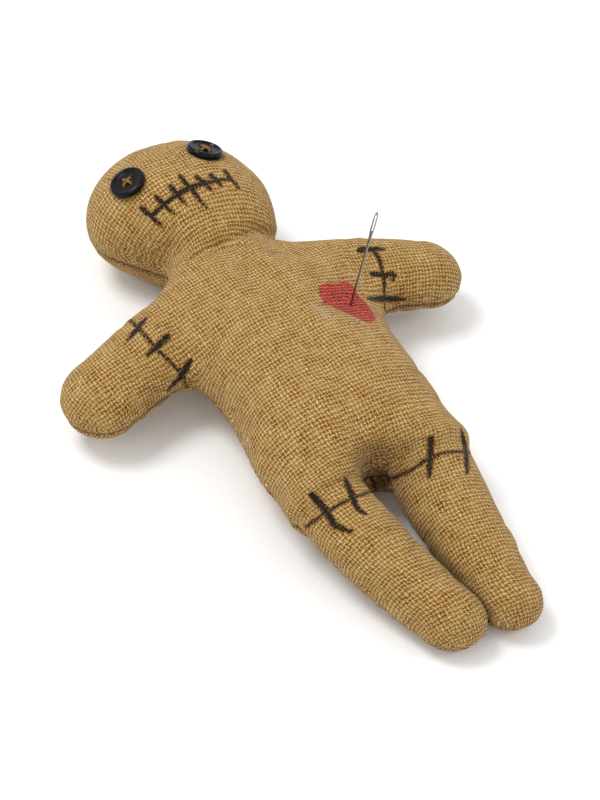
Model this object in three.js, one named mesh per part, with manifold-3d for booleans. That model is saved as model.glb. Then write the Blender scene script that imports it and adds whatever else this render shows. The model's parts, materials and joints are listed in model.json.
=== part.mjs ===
// A stuffed burlap doll that lies on its back, with two button eyes and a long needle through its chest.
// Millimetres, +Z out of the doll's front, +Y towards its head, +X towards its left arm.
import * as THREE from "three";
import { mergeVertices } from "three/addons/utils/BufferGeometryUtils.js";
import Module from "manifold-3d";

const wasm = await Module();
wasm.setup();

// Cloth, sewing and fits
const FABRIC = 1.2;
const SEAM_THREAD = 0.6;
const CLEARANCE = 0.3;
const REST_FLAT = 0.5;

// Torso, measured from the hip line up to the neck line
const TORSO_LENGTH = 127;
const NECK_WIDTH = 52;
const NECK_THICKNESS = 33;
const SHOULDER_WIDTH = 77;
const SHOULDER_THICKNESS = 39;
const CHEST_WIDTH = 77;
const CHEST_THICKNESS = 43;
const BELLY_WIDTH = 74;
const BELLY_THICKNESS = 46;
const HIP_WIDTH = 79;
const HIP_THICKNESS = 41;
const SEAT_THICKNESS = 34;

// Where the torso's widths are measured: the hips from the hip line, the others down from the neck line
const HIP_HEIGHT = 16;
const CHEST_BELOW_NECK = 43;
const SHOULDER_BELOW_NECK = 23;

// Head
const HEAD_WIDTH = 73;
const HEAD_HEIGHT = 76;
const HEAD_THICKNESS = 52;
const HEAD_SQUARENESS = 2.15;
const HEAD_TILT = 5.5;
const HEAD_ASIDE = 2;

// Arms, measured from the shoulder joint out to the end of the hand
const ARM_LENGTH = 41.5;
const ARM_ROOT_WIDTH = 38;
const ARM_ROOT_THICKNESS = 29;
const HAND_WIDTH = 34;
const HAND_THICKNESS = 25;
const HAND_ROUND = 15;
const ARM_JOINT_BELOW_NECK = 34.5;
const ARM_JOINT_OUT = 8.5;
const ARM_SLOPE = 18;
const HAND_DROP = 5;

// Legs, measured from the hip line down to the end of the foot
const LEG_LENGTH = 73;
const LEG_ROOT_WIDTH = 35.5;
const LEG_ROOT_THICKNESS = 29;
const CALF_WIDTH = 31;
const CALF_THICKNESS = 27;
const FOOT_WIDTH = 23;
const FOOT_THICKNESS = 22;
const FOOT_ROUND = 14;
const LEG_GAP = 4.4;
const FOOT_GAP = 1;
const FOOT_SHIFT = 3;

// How far each joint turns from rest, in degrees, and the spare angle at the lips of its socket
const NOD_FORWARD = 18;
const NOD_BACK = 10;
const ARM_FORWARD = 25;
const ARM_BACK = 12;
const LEG_FORWARD = 25;
const LEG_BACK = 8;
const EYE_TWIST = 12;
const LIP_SPARE = 2;

// Button eyes and the thread that holds them
const BUTTON_DIAMETER = 15;
const BUTTON_THICKNESS = 2.8;
const BUTTON_RIM = 1.9;
const BUTTON_DISH = 0.9;
const BUTTON_EDGE = 0.6;
const BUTTON_HOLE = 2;
const BUTTON_HOLE_PITCH = 3.6;
const EYE_THREAD = 1.1;
const EYE_SPACING = 35;
const EYE_HEIGHT = 7;

// Needle, measured along itself, with its place on the chest from the neck line and the doll's middle
const NEEDLE_LENGTH = 66;
const NEEDLE_DIAMETER = 1;
const NEEDLE_POINT = 9;
const NEEDLE_DEPTH = 18;
const NEEDLE_PUSH = 5;
const NEEDLE_EYE_LENGTH = 9;
const NEEDLE_EYE_WIDTH = 0.8;
const NEEDLE_EYE_WALL = 0.45;
const NEEDLE_BELOW_NECK = 60;
const NEEDLE_OUT = 26;
const NEEDLE_LEAN_LEFT = 9;
const NEEDLE_LEAN_DOWN = 4;

// How finely the round forms are divided
const SIDES = 16;
const TORSO_STEPS = 11;
const HEAD_STEPS = 9;
const LIMB_STEPS = 3;
const ROUND_STEPS = 4;
const BALL_STEPS = 3;
const SOCKET_STEPS = 12;
const THREAD_SIDES = 5;
const SEAM_STRIDE = 8;
const BUTTON_SIDES = 28;
const PIN_SIDES = 8;
const FAR = 300;

const deg = THREE.MathUtils.degToRad;
const quarter = Math.PI / 2;
const midHeight = BELLY_THICKNESS / 2 - REST_FLAT;

const burlap = { color: 0xb39661, roughness: 0.95, metalness: 0 };
const fibre = { color: 0xe6e0d2, roughness: 1, metalness: 0 };
const twine = { color: 0x8a6f45, roughness: 0.9, metalness: 0 };
const eyeTwine = { color: 0xa8652f, roughness: 0.8, metalness: 0 };
const blackPlastic = { color: 0x0d0d0e, roughness: 0.25, metalness: 0 };
const steel = { color: 0xb9bcc0, roughness: 0.25, metalness: 1 };

const doll = new THREE.Group();

// Solids: a geometry becomes a solid to be joined or cut, and a solid becomes a geometry again
function solidOf(geometry) {
  const bare = new THREE.BufferGeometry();
  bare.setAttribute("position", geometry.getAttribute("position").clone());
  if (geometry.index) bare.setIndex(geometry.index.clone());
  const merged = mergeVertices(bare, 1e-4);
  const mesh = new wasm.Mesh({
    numProp: 3,
    vertProperties: new Float32Array(merged.getAttribute("position").array),
    triVerts: new Uint32Array(merged.index.array),
  });
  mesh.merge();
  return new wasm.Manifold(mesh);
}

function geometryOf(solid) {
  const mesh = solid.getMesh();
  const geometry = new THREE.BufferGeometry();
  geometry.setAttribute("position", new THREE.BufferAttribute(mesh.vertProperties, 3));
  geometry.setIndex(new THREE.BufferAttribute(mesh.triVerts, 1));
  geometry.computeVertexNormals();
  return geometry;
}

// A cut can leave crumbs where two seams cross, so the piece is the largest body of what is left
function mainBody(solid) {
  const bodies = solid.decompose();
  bodies.sort((a, b) => b.volume() - a.volume());
  return bodies[0];
}

function addPiece(parent, name, solid, look) {
  const mesh = new THREE.Mesh(geometryOf(mainBody(solid)), new THREE.MeshStandardMaterial(look));
  mesh.name = name;
  parent.add(mesh);
  return mesh;
}

function box(x0, x1, y0, y1, z0, z1) {
  const geometry = new THREE.BoxGeometry(x1 - x0, y1 - y0, z1 - z0);
  return geometry.translate((x0 + x1) / 2, (y0 + y1) / 2, (z0 + z1) / 2);
}

// An outline in the X-Z plane, carried along Y to both sides of the middle
function sidewaysBlock(outline, halfWidth) {
  const shape = new THREE.Shape(outline.map(([x, z]) => new THREE.Vector2(x, z)));
  const geometry = new THREE.ExtrudeGeometry(shape, { depth: 2 * halfWidth, bevelEnabled: false });
  return geometry.translate(0, 0, -halfWidth).rotateX(quarter);
}

function roundBar(radius, z0, z1, sides) {
  const geometry = new THREE.CylinderGeometry(radius, radius, z1 - z0, sides);
  return geometry.rotateX(quarter).translate(0, 0, (z0 + z1) / 2);
}

// A thread of a given thickness along a list of points
function threadAlong(points, diameter, steps) {
  const shape = new THREE.Shape();
  for (let k = 0; k < THREAD_SIDES; k += 1) {
    const turn = (2 * Math.PI * k) / THREAD_SIDES;
    const corner = [(Math.cos(turn) * diameter) / 2, (Math.sin(turn) * diameter) / 2];
    if (k === 0) shape.moveTo(...corner);
    else shape.lineTo(...corner);
  }
  const extrudePath = new THREE.CatmullRomCurve3(points);
  return new THREE.ExtrudeGeometry(shape, { extrudePath, steps, bevelEnabled: false });
}

// The position of a geometry of one group, seen from another group
function moved(geometry, from, to) {
  from.updateMatrixWorld();
  to.updateMatrixWorld();
  return geometry.clone().applyMatrix4(from.matrixWorld).applyMatrix4(to.matrixWorld.clone().invert());
}

// Stuffed sections: rings of half width w and half thickness t along local +X, width along Y, front to +Z
function loft({ rings, start, end }, spine) {
  const positions = [];
  for (const { x, w, t } of rings) {
    const [y, z] = spine(x);
    for (let k = 0; k < SIDES; k += 1) {
      const turn = (2 * Math.PI * k) / SIDES;
      positions.push(x, y + w * Math.cos(turn), z + t * Math.sin(turn));
    }
  }
  const startPole = rings.length * SIDES;
  positions.push(start, ...spine(start), end, ...spine(end));
  const index = [];
  for (let k = 0; k < SIDES; k += 1) {
    const next = (k + 1) % SIDES;
    const last = (rings.length - 1) * SIDES;
    index.push(startPole, next, k, startPole + 1, last + k, last + next);
    for (let row = 0; row < last; row += SIDES) {
      index.push(row + k, row + next, row + SIDES + k);
      index.push(row + next, row + SIDES + next, row + SIDES + k);
    }
  }
  const geometry = new THREE.BufferGeometry();
  geometry.setAttribute("position", new THREE.Float32BufferAttribute(positions, 3));
  geometry.setIndex(index);
  return geometry;
}

// A smooth run of rings through the stations, each a place with its half width and half thickness
function swell(stations, steps, inset) {
  const curve = new THREE.CatmullRomCurve3(stations.map((station) => new THREE.Vector3(...station)));
  return curve.getPoints(steps).map((p) => ({ x: p.x, w: p.y - inset, t: p.z - inset }));
}

// The round end that turns in its socket: a ball stretched along the joint's axis
function ballRings(halfWidth, halfThickness, inset) {
  const rings = [];
  for (let k = 1; k < BALL_STEPS; k += 1) {
    const turn = (k / BALL_STEPS) * quarter;
    const t = (halfThickness - inset) * Math.sin(turn);
    rings.push({ x: -(halfThickness - inset) * Math.cos(turn), w: (halfWidth - inset) * Math.sin(turn), t });
  }
  return rings;
}

function limbShape(limb, inset) {
  const [, rootWidth, rootThickness] = limb.stations[0];
  const [endX, endWidth, endThickness] = limb.stations.at(-1);
  const rings = ballRings(rootWidth, rootThickness, inset);
  rings.push(...swell(limb.stations, LIMB_STEPS, inset));
  for (let k = 1; k < ROUND_STEPS; k += 1) {
    const turn = (k / ROUND_STEPS) * quarter;
    const x = endX + (limb.round - inset) * Math.sin(turn);
    rings.push({ x, w: (endWidth - inset) * Math.cos(turn), t: (endThickness - inset) * Math.cos(turn) });
  }
  return { rings, start: -(rootThickness - inset), end: endX + limb.round - inset };
}

// The head is a rounded square from the front, which starts at the neck's width and ends at the crown
const neckShare = NECK_WIDTH / HEAD_WIDTH;
const neckTurn = Math.asin(neckShare ** (HEAD_SQUARENESS / 2));
const headCentre = (HEAD_HEIGHT / 2) * Math.cos(neckTurn) ** (2 / HEAD_SQUARENESS);
const fullLength = LEG_LENGTH + TORSO_LENGTH + headCentre + HEAD_HEIGHT / 2;
const hipLine = LEG_LENGTH - fullLength / 2;

function headShape(inset) {
  const rings = ballRings(NECK_WIDTH / 2, NECK_THICKNESS / 2, inset);
  rings.push({ x: 0, w: NECK_WIDTH / 2 - inset, t: NECK_THICKNESS / 2 - inset });
  for (let k = 1; k < HEAD_STEPS; k += 1) {
    const turn = neckTurn + ((Math.PI - neckTurn) * k) / HEAD_STEPS;
    const share = Math.sin(turn) ** (2 / HEAD_SQUARENESS);
    const along = Math.sign(Math.cos(turn)) * Math.abs(Math.cos(turn)) ** (2 / HEAD_SQUARENESS);
    const x = headCentre - (HEAD_HEIGHT / 2 - inset) * along;
    rings.push({ x, w: (HEAD_WIDTH / 2 - inset) * share, t: (HEAD_THICKNESS / 2 - inset) * share });
  }
  return { rings, start: -(NECK_THICKNESS / 2 - inset), end: headCentre + HEAD_HEIGHT / 2 - inset };
}

// The torso runs past its joints, and each joint cuts its own end
const seatHalf = LEG_GAP / 2 + LEG_ROOT_WIDTH;
const chestHeight = TORSO_LENGTH - CHEST_BELOW_NECK;
const bellyHeight = (HIP_HEIGHT + chestHeight) / 2;
const torsoStations = [
  [0, seatHalf, SEAT_THICKNESS / 2],
  [HIP_HEIGHT, HIP_WIDTH / 2, HIP_THICKNESS / 2],
  [bellyHeight, BELLY_WIDTH / 2, BELLY_THICKNESS / 2],
  [chestHeight, CHEST_WIDTH / 2, CHEST_THICKNESS / 2],
  [TORSO_LENGTH - SHOULDER_BELOW_NECK, SHOULDER_WIDTH / 2, SHOULDER_THICKNESS / 2],
  [TORSO_LENGTH, NECK_WIDTH / 2, NECK_THICKNESS / 2],
];

function torsoShape(inset) {
  const rings = swell(torsoStations, TORSO_STEPS, inset);
  const overrun = FABRIC + inset;
  rings.unshift({ ...rings[0], x: -overrun });
  rings.push({ ...rings.at(-1), x: TORSO_LENGTH + overrun });
  return { rings, start: -overrun, end: TORSO_LENGTH + overrun };
}

// The arm's own section carried inwards, so that the shoulder is as thick as the arm that leaves it
function shoulderShape(inset) {
  const ring = { w: ARM_ROOT_WIDTH / 2 - inset, t: ARM_ROOT_THICKNESS / 2 - inset };
  const start = -SHOULDER_WIDTH / 2 + inset;
  const end = FABRIC + inset;
  return { rings: [{ ...ring, x: start }, { ...ring, x: end }], start, end };
}

const straight = () => [0, 0];
const headRise = HEAD_THICKNESS / 2 - REST_FLAT - midHeight;
const headSpine = (x) => {
  const along = THREE.MathUtils.smoothstep(x, 0, headCentre);
  return [HEAD_ASIDE * along, headRise * along];
};
const handFall = HAND_DROP / ARM_LENGTH;
const armSpine = (x) => [0, -handFall * Math.max(x, 0)];
const legJointOut = (LEG_GAP + LEG_ROOT_WIDTH) / 2;
const footOut = (FOOT_GAP + FOOT_WIDTH) / 2;
const footStart = LEG_LENGTH - FOOT_ROUND;
const footDrop = midHeight - (FOOT_THICKNESS / 2 - REST_FLAT);
const legSpine = (side) => (x) => {
  const along = Math.max(x, 0) / footStart;
  return [(FOOT_SHIFT - side * (legJointOut - footOut)) * along, -footDrop * along];
};

const armStations = [
  [0, ARM_ROOT_WIDTH / 2, ARM_ROOT_THICKNESS / 2],
  [ARM_LENGTH - HAND_ROUND, HAND_WIDTH / 2, HAND_THICKNESS / 2],
];
const legStations = [
  [0, LEG_ROOT_WIDTH / 2, LEG_ROOT_THICKNESS / 2],
  [footStart / 2, CALF_WIDTH / 2, CALF_THICKNESS / 2],
  [footStart, FOOT_WIDTH / 2, FOOT_THICKNESS / 2],
];

function sectionGroup(x, y, turn) {
  const group = new THREE.Group();
  group.position.set(x, y, midHeight);
  group.rotation.z = turn;
  doll.add(group);
  return group;
}

const torsoGroup = sectionGroup(0, hipLine, quarter);
const torso = {
  name: "torso",
  group: torsoGroup,
  spine: straight,
  shape: torsoShape,
  reach: TORSO_LENGTH,
  seamSteps: 1,
};
const neckLine = hipLine + TORSO_LENGTH;
const head = {
  name: "head",
  group: sectionGroup(0, neckLine, quarter + deg(HEAD_TILT)),
  spine: headSpine,
  shape: headShape,
  reach: headCentre + HEAD_HEIGHT / 2,
  seamSteps: HEAD_STEPS,
  root: [NECK_WIDTH / 2, NECK_THICKNESS / 2],
  lips: [NOD_FORWARD, NOD_BACK],
  lipReach: SHOULDER_WIDTH / 2,
};

function makeArm(name, side) {
  const out = side * (SHOULDER_WIDTH / 2 + ARM_JOINT_OUT);
  const turn = side > 0 ? -deg(ARM_SLOPE) : Math.PI + deg(ARM_SLOPE);
  return {
    name,
    side,
    group: sectionGroup(out, neckLine - ARM_JOINT_BELOW_NECK, turn),
    spine: armSpine,
    shape: (inset) => limbShape({ stations: armStations, round: HAND_ROUND }, inset),
    reach: ARM_LENGTH,
    seamSteps: 1,
    root: [ARM_ROOT_WIDTH / 2, ARM_ROOT_THICKNESS / 2],
    lips: [ARM_FORWARD, ARM_BACK],
    lipReach: ARM_ROOT_WIDTH / 2 + FABRIC,
  };
}

function makeLeg(name, side) {
  return {
    name,
    side,
    group: sectionGroup(side * legJointOut, hipLine, -quarter),
    spine: legSpine(side),
    shape: (inset) => limbShape({ stations: legStations, round: FOOT_ROUND }, inset),
    reach: LEG_LENGTH,
    seamSteps: 1,
    root: [LEG_ROOT_WIDTH / 2, LEG_ROOT_THICKNESS / 2],
    lips: [LEG_FORWARD, LEG_BACK],
    lipReach: 2 * seatHalf,
  };
}

const arms = [makeArm("arm_left", 1), makeArm("arm_right", -1)];
const legs = [makeLeg("leg_left", 1), makeLeg("leg_right", -1)];
const limbs = [head, ...arms, ...legs];

// What a joint takes out of the torso: the ball's socket and all that lies beyond the socket's two lips,
// each grown by the thickness of what lines them
function jointCut({ root: [halfWidth, halfThickness], lips: [forward, back], lipReach, group }, lining) {
  const grow = 1 / Math.cos(Math.PI / SOCKET_STEPS) ** 2;
  const radius = (halfThickness + CLEARANCE + lining) * grow;
  const socket = new THREE.SphereGeometry(1, SOCKET_STEPS, SOCKET_STEPS / 2);
  socket.scale(radius, (halfWidth + CLEARANCE + lining) * grow, radius);
  const lip = (angle, sign) => [-Math.sin(angle) * FAR, sign * Math.cos(angle) * FAR];
  const frontAngle = deg(forward + LIP_SPARE);
  const outline = [[0, 0], lip(deg(back + LIP_SPARE), -1), [FAR, -FAR], [FAR, FAR], lip(frontAngle, 1)];
  const beyond = sidewaysBlock(outline, lipReach + lining);
  beyond.translate(-lining / Math.cos(frontAngle), 0, 0);
  return solidOf(moved(socket, group, torsoGroup)).add(solidOf(moved(beyond, group, torsoGroup)));
}

const jointCuts = (lining) => limbs.map((limb) => jointCut(limb, lining)).reduce((all, cut) => all.add(cut));

function sectionSolid(section, inset) {
  const own = solidOf(loft(section.shape(inset), section.spine));
  if (section !== torso) return own;
  const shoulder = loft(shoulderShape(inset), straight);
  const shoulders = arms.map(({ group }) => solidOf(moved(shoulder, group, torsoGroup)));
  return shoulders.reduce((all, one) => all.add(one), own).subtract(jointCuts(inset));
}

const ground = solidOf(box(-FAR, FAR, -FAR, FAR, -FAR, -midHeight));

// The block on one side of a section's seam, which follows the section's spine
function seamSide({ spine, reach, seamSteps }, sign) {
  const gap = sign * (SEAM_THREAD / 2 + CLEARANCE);
  const edge = [[-FAR, gap]];
  for (let k = 0; k <= seamSteps; k += 1) {
    const x = (reach * k) / seamSteps;
    edge.push([x, spine(x)[1] + gap]);
  }
  edge.push([FAR, spine(reach)[1] + gap], [FAR, sign * FAR], [-FAR, sign * FAR]);
  return solidOf(sidewaysBlock(sign > 0 ? edge : edge.reverse(), FAR));
}

// A place on the front of a rounded form, with its own +Z along the normal there. It clears the whole form,
// and sag is how far the form falls away below it at the given radius
function placeOn(geometry, x, y, radius) {
  const mesh = new THREE.Mesh(geometry, new THREE.MeshBasicMaterial({ side: THREE.DoubleSide }));
  const ray = new THREE.Raycaster();
  const touch = (px, py) => {
    ray.set(new THREE.Vector3(px, py, FAR), new THREE.Vector3(0, 0, -1));
    return ray.intersectObject(mesh)[0].point;
  };
  const around = [[1, 0], [0, 1], [-1, 0], [0, -1]].map(([a, b]) => touch(x + a * radius, y + b * radius));
  const normal = around[0].clone().sub(around[2]).cross(around[1].clone().sub(around[3])).normalize();
  const corners = geometry.getAttribute("position");
  const corner = new THREE.Vector3();
  let height = 0;
  for (let k = 0; k < corners.count; k += 1) {
    height = Math.max(height, corner.fromBufferAttribute(corners, k).dot(normal));
  }
  const contact = touch(x, y);
  const place = new THREE.Group();
  place.position.copy(contact).addScaledVector(normal, height - contact.dot(normal));
  place.quaternion.setFromUnitVectors(new THREE.Vector3(0, 0, 1), normal);
  const sag = height - Math.min(...around.map((point) => point.dot(normal)));
  return { place, sag };
}

// Places of the two eyes on the head and of the needle on the chest
const headSkin = loft(headShape(0), headSpine);
const eyes = [["left", -1], ["right", 1]].map(([name, sideways]) => {
  const along = headCentre + EYE_HEIGHT;
  const out = headSpine(along)[0] + (sideways * EYE_SPACING) / 2;
  const spot = placeOn(headSkin, along, out, BUTTON_DIAMETER / 2);
  spot.place.translateZ(CLEARANCE);
  head.group.add(spot.place);
  return { name, ...spot };
});

const chestSkin = loft(torsoShape(0), straight);
const needleHeight = TORSO_LENGTH - NEEDLE_BELOW_NECK;
const needlePlace = placeOn(chestSkin, needleHeight, -NEEDLE_OUT, NEEDLE_DIAMETER).place;
needlePlace.quaternion.setFromEuler(new THREE.Euler(deg(NEEDLE_LEAN_LEFT), -deg(NEEDLE_LEAN_DOWN), 0));
torsoGroup.add(needlePlace);

// Holes in the cloth and pockets in the stuffing for the eye threads and the needle
const holeOffset = BUTTON_HOLE_PITCH / 2;
const holePlaces = [[1, 1], [-1, 1], [-1, -1], [1, -1]].map(([a, b]) => [a * holeOffset, b * holeOffset]);
const holeRadius = Math.hypot(holeOffset, holeOffset);
const threadPass = EYE_THREAD / 2 + CLEARANCE;
const clothPass = threadPass + holeRadius * Math.sin(deg(EYE_TWIST));
const eyeSag = Math.max(...eyes.map(({ sag }) => sag));
const threadBottom = -(CLEARANCE + eyeSag + FABRIC + CLEARANCE + EYE_THREAD / 2);
const pocketFloor = threadBottom - EYE_THREAD - CLEARANCE;

const eyeHoles = eyes.flatMap(({ place }) =>
  holePlaces.map(([x, y]) => {
    const hole = roundBar(clothPass, pocketFloor, BUTTON_THICKNESS, PIN_SIDES).translate(x, y, 0);
    return solidOf(moved(hole, place, head.group));
  }),
);
const eyePockets = eyes.map(({ place }) => {
  const pocket = roundBar(holeRadius + threadPass, pocketFloor, BUTTON_THICKNESS, PIN_SIDES * 2);
  return solidOf(moved(pocket, place, head.group));
});
const boreRadius = NEEDLE_DIAMETER / 2 + CLEARANCE;
const boreBottom = -(NEEDLE_DEPTH + NEEDLE_PUSH + CLEARANCE);
const boreBar = roundBar(boreRadius, boreBottom, NEEDLE_DEPTH, PIN_SIDES);
const needleBore = solidOf(moved(boreBar, needlePlace, torsoGroup));

const clothCuts = new Map([[torso, [needleBore]], [head, eyeHoles]]);
const stuffingCuts = new Map([[torso, [needleBore]], [head, eyePockets]]);
const cutAll = (solid, cuts = []) => cuts.reduce((left, cut) => left.subtract(cut), solid);

// Each section is a front and a back piece of cloth around its stuffing
function addSection(section) {
  const skin = sectionSolid(section, 0).subtract(sectionSolid(section, FABRIC)).subtract(ground);
  const cloth = cutAll(skin, clothCuts.get(section));
  addPiece(section.group, `${section.name}_front_panel`, cloth.intersect(seamSide(section, 1)), burlap);
  addPiece(section.group, `${section.name}_back_panel`, cloth.intersect(seamSide(section, -1)), burlap);
  const fill = cutAll(sectionSolid(section, FABRIC + CLEARANCE), stuffingCuts.get(section));
  addPiece(section.group, `${section.name}_stuffing`, fill, fibre);
}

[torso, ...limbs].forEach(addSection);

// Seam threads run in the middle of the cloth's thickness, between the front and back pieces
function addLimbSeam({ name, group, shape, spine }) {
  const { rings, end } = shape(FABRIC / 2);
  const outer = rings.filter(({ x }) => x >= 0);
  const point = (x, y) => new THREE.Vector3(x, spine(x)[0] + y, spine(x)[1]);
  const points = [
    ...outer.map(({ x, w }) => point(x, w)),
    point(end, 0),
    ...outer.toReversed().map(({ x, w }) => point(x, -w)),
  ];
  addPiece(group, `${name}_seam_thread`, solidOf(threadAlong(points, SEAM_THREAD, 2 * points.length)), twine);
}

limbs.forEach(addLimbSeam);

// The torso's seam is open at the neck, arms and legs: it has a run below each arm and one on each shoulder
const seamInset = 2 * FABRIC;
const neckInset = seamInset + (NECK_WIDTH / 2) * Math.sin(deg(HEAD_TILT));
const armEdge = ARM_ROOT_WIDTH / 2 - FABRIC / 2 + CLEARANCE;

function addTorsoSeam(name, { side, group }, sign) {
  const points = swell(torsoStations, TORSO_STEPS * SEAM_STRIDE, FABRIC / 2)
    .map(({ x, w }) => new THREE.Vector3(x, -side * w, 0))
    .filter(({ x }) => x > seamInset && x < TORSO_LENGTH - neckInset)
    .filter((p) => sign * side * group.worldToLocal(torsoGroup.localToWorld(p.clone())).y > armEdge)
    .filter((p, k, all) => k % SEAM_STRIDE === 0 || k === all.length - 1);
  addPiece(torsoGroup, name, solidOf(threadAlong(points, SEAM_THREAD, 2 * points.length)), twine);
}

for (const arm of arms) {
  const hand = arm.name.replace("arm_", "");
  addTorsoSeam(`torso_${hand}_side_seam_thread`, arm, -1);
  addTorsoSeam(`torso_${hand}_shoulder_seam_thread`, arm, 1);
}

// Button eyes: rimmed, dished, with four holes
function buttonSolid() {
  const radius = BUTTON_DIAMETER / 2;
  const dishFloor = BUTTON_THICKNESS - BUTTON_DISH;
  const rimInner = radius - BUTTON_RIM;
  const profile = [
    [0, 0],
    [radius - BUTTON_EDGE, 0],
    [radius, BUTTON_EDGE],
    [radius, BUTTON_THICKNESS - BUTTON_EDGE],
    [radius - BUTTON_EDGE, BUTTON_THICKNESS],
    [rimInner, BUTTON_THICKNESS],
    [rimInner - BUTTON_DISH, dishFloor],
    [0, dishFloor],
  ].map(([r, z]) => new THREE.Vector2(r, z));
  const disc = solidOf(new THREE.LatheGeometry(profile, BUTTON_SIDES).rotateX(quarter));
  const holes = holePlaces.map(([x, y]) => {
    const hole = roundBar(BUTTON_HOLE / 2, -CLEARANCE, BUTTON_THICKNESS, PIN_SIDES);
    return solidOf(hole.translate(x, y, 0));
  });
  return cutAll(disc, holes);
}

// The eye thread: two crossed loops through the holes, tied in a knot behind the cloth
function eyeThreadSolid() {
  const top = BUTTON_THICKNESS - BUTTON_DISH + CLEARANCE + EYE_THREAD / 2;
  const bend = EYE_THREAD / 2;
  const half = [
    [0, threadBottom],
    [holeRadius - bend, threadBottom],
    [holeRadius, threadBottom + bend],
    [holeRadius, top - bend],
    [holeRadius - bend, top],
    [0, top],
  ];
  const loop = [...half, ...half.toReversed().slice(1).map(([out, z]) => [-out, z])];
  const loops = [Math.PI / 4, -Math.PI / 4].map((turn) => {
    const points = loop.map(([out, z]) => new THREE.Vector3(out * Math.cos(turn), out * Math.sin(turn), z));
    return solidOf(threadAlong(points, EYE_THREAD, Math.round(1.5 * points.length)));
  });
  const knot = new THREE.SphereGeometry(EYE_THREAD, PIN_SIDES, PIN_SIDES / 2).translate(0, 0, threadBottom);
  return loops[0].add(loops[1]).add(solidOf(knot));
}

for (const { name, place } of eyes) {
  addPiece(place, `button_${name}`, buttonSolid(), blackPlastic);
  addPiece(place, `button_${name}_thread`, eyeThreadSolid(), eyeTwine);
}

// Needle: a pointed round shaft with a long flat eye at its upper end
function needleSolid() {
  const radius = NEEDLE_DIAMETER / 2;
  const top = NEEDLE_LENGTH - NEEDLE_DEPTH;
  const profile = [
    [0, -NEEDLE_DEPTH],
    [radius, -NEEDLE_DEPTH + NEEDLE_POINT],
    [radius, top - radius],
    [0, top],
  ].map(([r, z]) => new THREE.Vector2(r, z));
  const shaft = solidOf(new THREE.LatheGeometry(profile, PIN_SIDES).rotateX(quarter));
  const eyeTop = top - 2 * NEEDLE_EYE_WALL;
  const stadium = (halfWidth, low, high, depth) => {
    const shape = new THREE.Shape();
    shape.absarc(0, high - halfWidth, halfWidth, 0, Math.PI);
    shape.absarc(0, low + halfWidth, halfWidth, Math.PI, 2 * Math.PI);
    const geometry = new THREE.ExtrudeGeometry(shape, { depth, bevelEnabled: false, curveSegments: 3 });
    return solidOf(geometry.translate(0, 0, -depth / 2).rotateX(quarter));
  };
  const eyeHalf = NEEDLE_EYE_WIDTH / 2;
  const wall = NEEDLE_EYE_WALL;
  const eyeLow = eyeTop - NEEDLE_EYE_LENGTH;
  const rim = stadium(eyeHalf + wall, eyeLow - 3 * wall, eyeTop + 2 * wall, NEEDLE_DIAMETER * 0.9);
  return shaft.add(rim).subtract(stadium(eyeHalf, eyeLow, eyeTop, 2 * NEEDLE_DIAMETER));
}

addPiece(needlePlace, "needle", needleSolid(), steel);

export default doll;
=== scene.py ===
import json
import math

import bmesh
import bpy
import numpy as np
from mathutils import Matrix, Vector, noise
from mathutils.bvhtree import BVHTree
from mathutils.kdtree import KDTree


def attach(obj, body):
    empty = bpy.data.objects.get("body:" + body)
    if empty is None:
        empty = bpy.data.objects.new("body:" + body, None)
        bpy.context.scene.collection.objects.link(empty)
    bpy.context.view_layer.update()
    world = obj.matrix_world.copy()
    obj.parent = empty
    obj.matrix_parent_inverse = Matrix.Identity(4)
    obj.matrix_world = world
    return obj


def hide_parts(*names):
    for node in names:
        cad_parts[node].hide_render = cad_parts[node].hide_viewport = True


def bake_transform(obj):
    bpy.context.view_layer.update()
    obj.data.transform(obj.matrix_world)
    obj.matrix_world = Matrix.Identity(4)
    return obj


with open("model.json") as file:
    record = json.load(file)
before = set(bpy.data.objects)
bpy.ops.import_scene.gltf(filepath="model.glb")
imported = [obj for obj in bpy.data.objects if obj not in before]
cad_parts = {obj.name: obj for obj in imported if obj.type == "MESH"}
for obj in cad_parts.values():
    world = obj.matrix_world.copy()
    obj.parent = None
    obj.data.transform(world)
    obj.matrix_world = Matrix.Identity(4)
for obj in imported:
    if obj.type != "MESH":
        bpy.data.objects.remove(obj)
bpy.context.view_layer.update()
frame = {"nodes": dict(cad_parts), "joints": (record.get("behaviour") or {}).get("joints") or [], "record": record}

MM = 0.001

# The photograph's camera: where it looks from, in degrees and millimetres, and its focal length in pixels
PHOTO_WIDTH = 600
PHOTO_HEIGHT = 800
VIEW_AZIMUTH = -29.82
VIEW_ELEVATION = 47.46
VIEW_ROLL = 1.22
VIEW_DISTANCE = 733.0
VIEW_TARGET = np.array((-5.88, -11.16, 18.7))
VIEW_FOCAL = 1928.0
VIEW_END = 20.0
SENSOR = 36.0

# Sections of the doll in millimetres, close to the CAD model and a little lopsided, as in the photograph. A torso
# station is its height above the hip line, half its width, half its thickness and how far its middle lies towards the
# left arm. A limb's station has no such shift. Of the two sides, 1 is the left and -1 the right
HIP_LINE = -60.0
NECK_LINE = 67.0
MID_HEIGHT = 22.5
TORSO_STATIONS = [
    (0.0, 36.2, 15.0, -0.5),
    (16.0, 38.8, 20.3, -0.5),
    (50.0, 38.1, 23.0, 2.0),
    (84.0, 40.2, 21.4, 2.8),
    (104.0, 34.9, 19.0, -0.8),
    (127.0, 21.2, 15.2, -1.8),
]
TORSO_CAPS = (3.0, 6.0)
HEAD_WIDTH = 74.2
HEAD_HEIGHT = 74.6
HEAD_THICKNESS = 52.0
HEAD_SQUARENESS = 2.15
HEAD_TILT = math.radians(5.5)
HEAD_CENTRE = 27.4
HEAD_ASIDE = 1.3
RIGHT_CHEEK = 0.42
CHEEK_LINES = (2.0, HEAD_CENTRE + 14.0)
HEAD_RISE = 3.0
ARM_JOINT = (47.0, 32.51)
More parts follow.
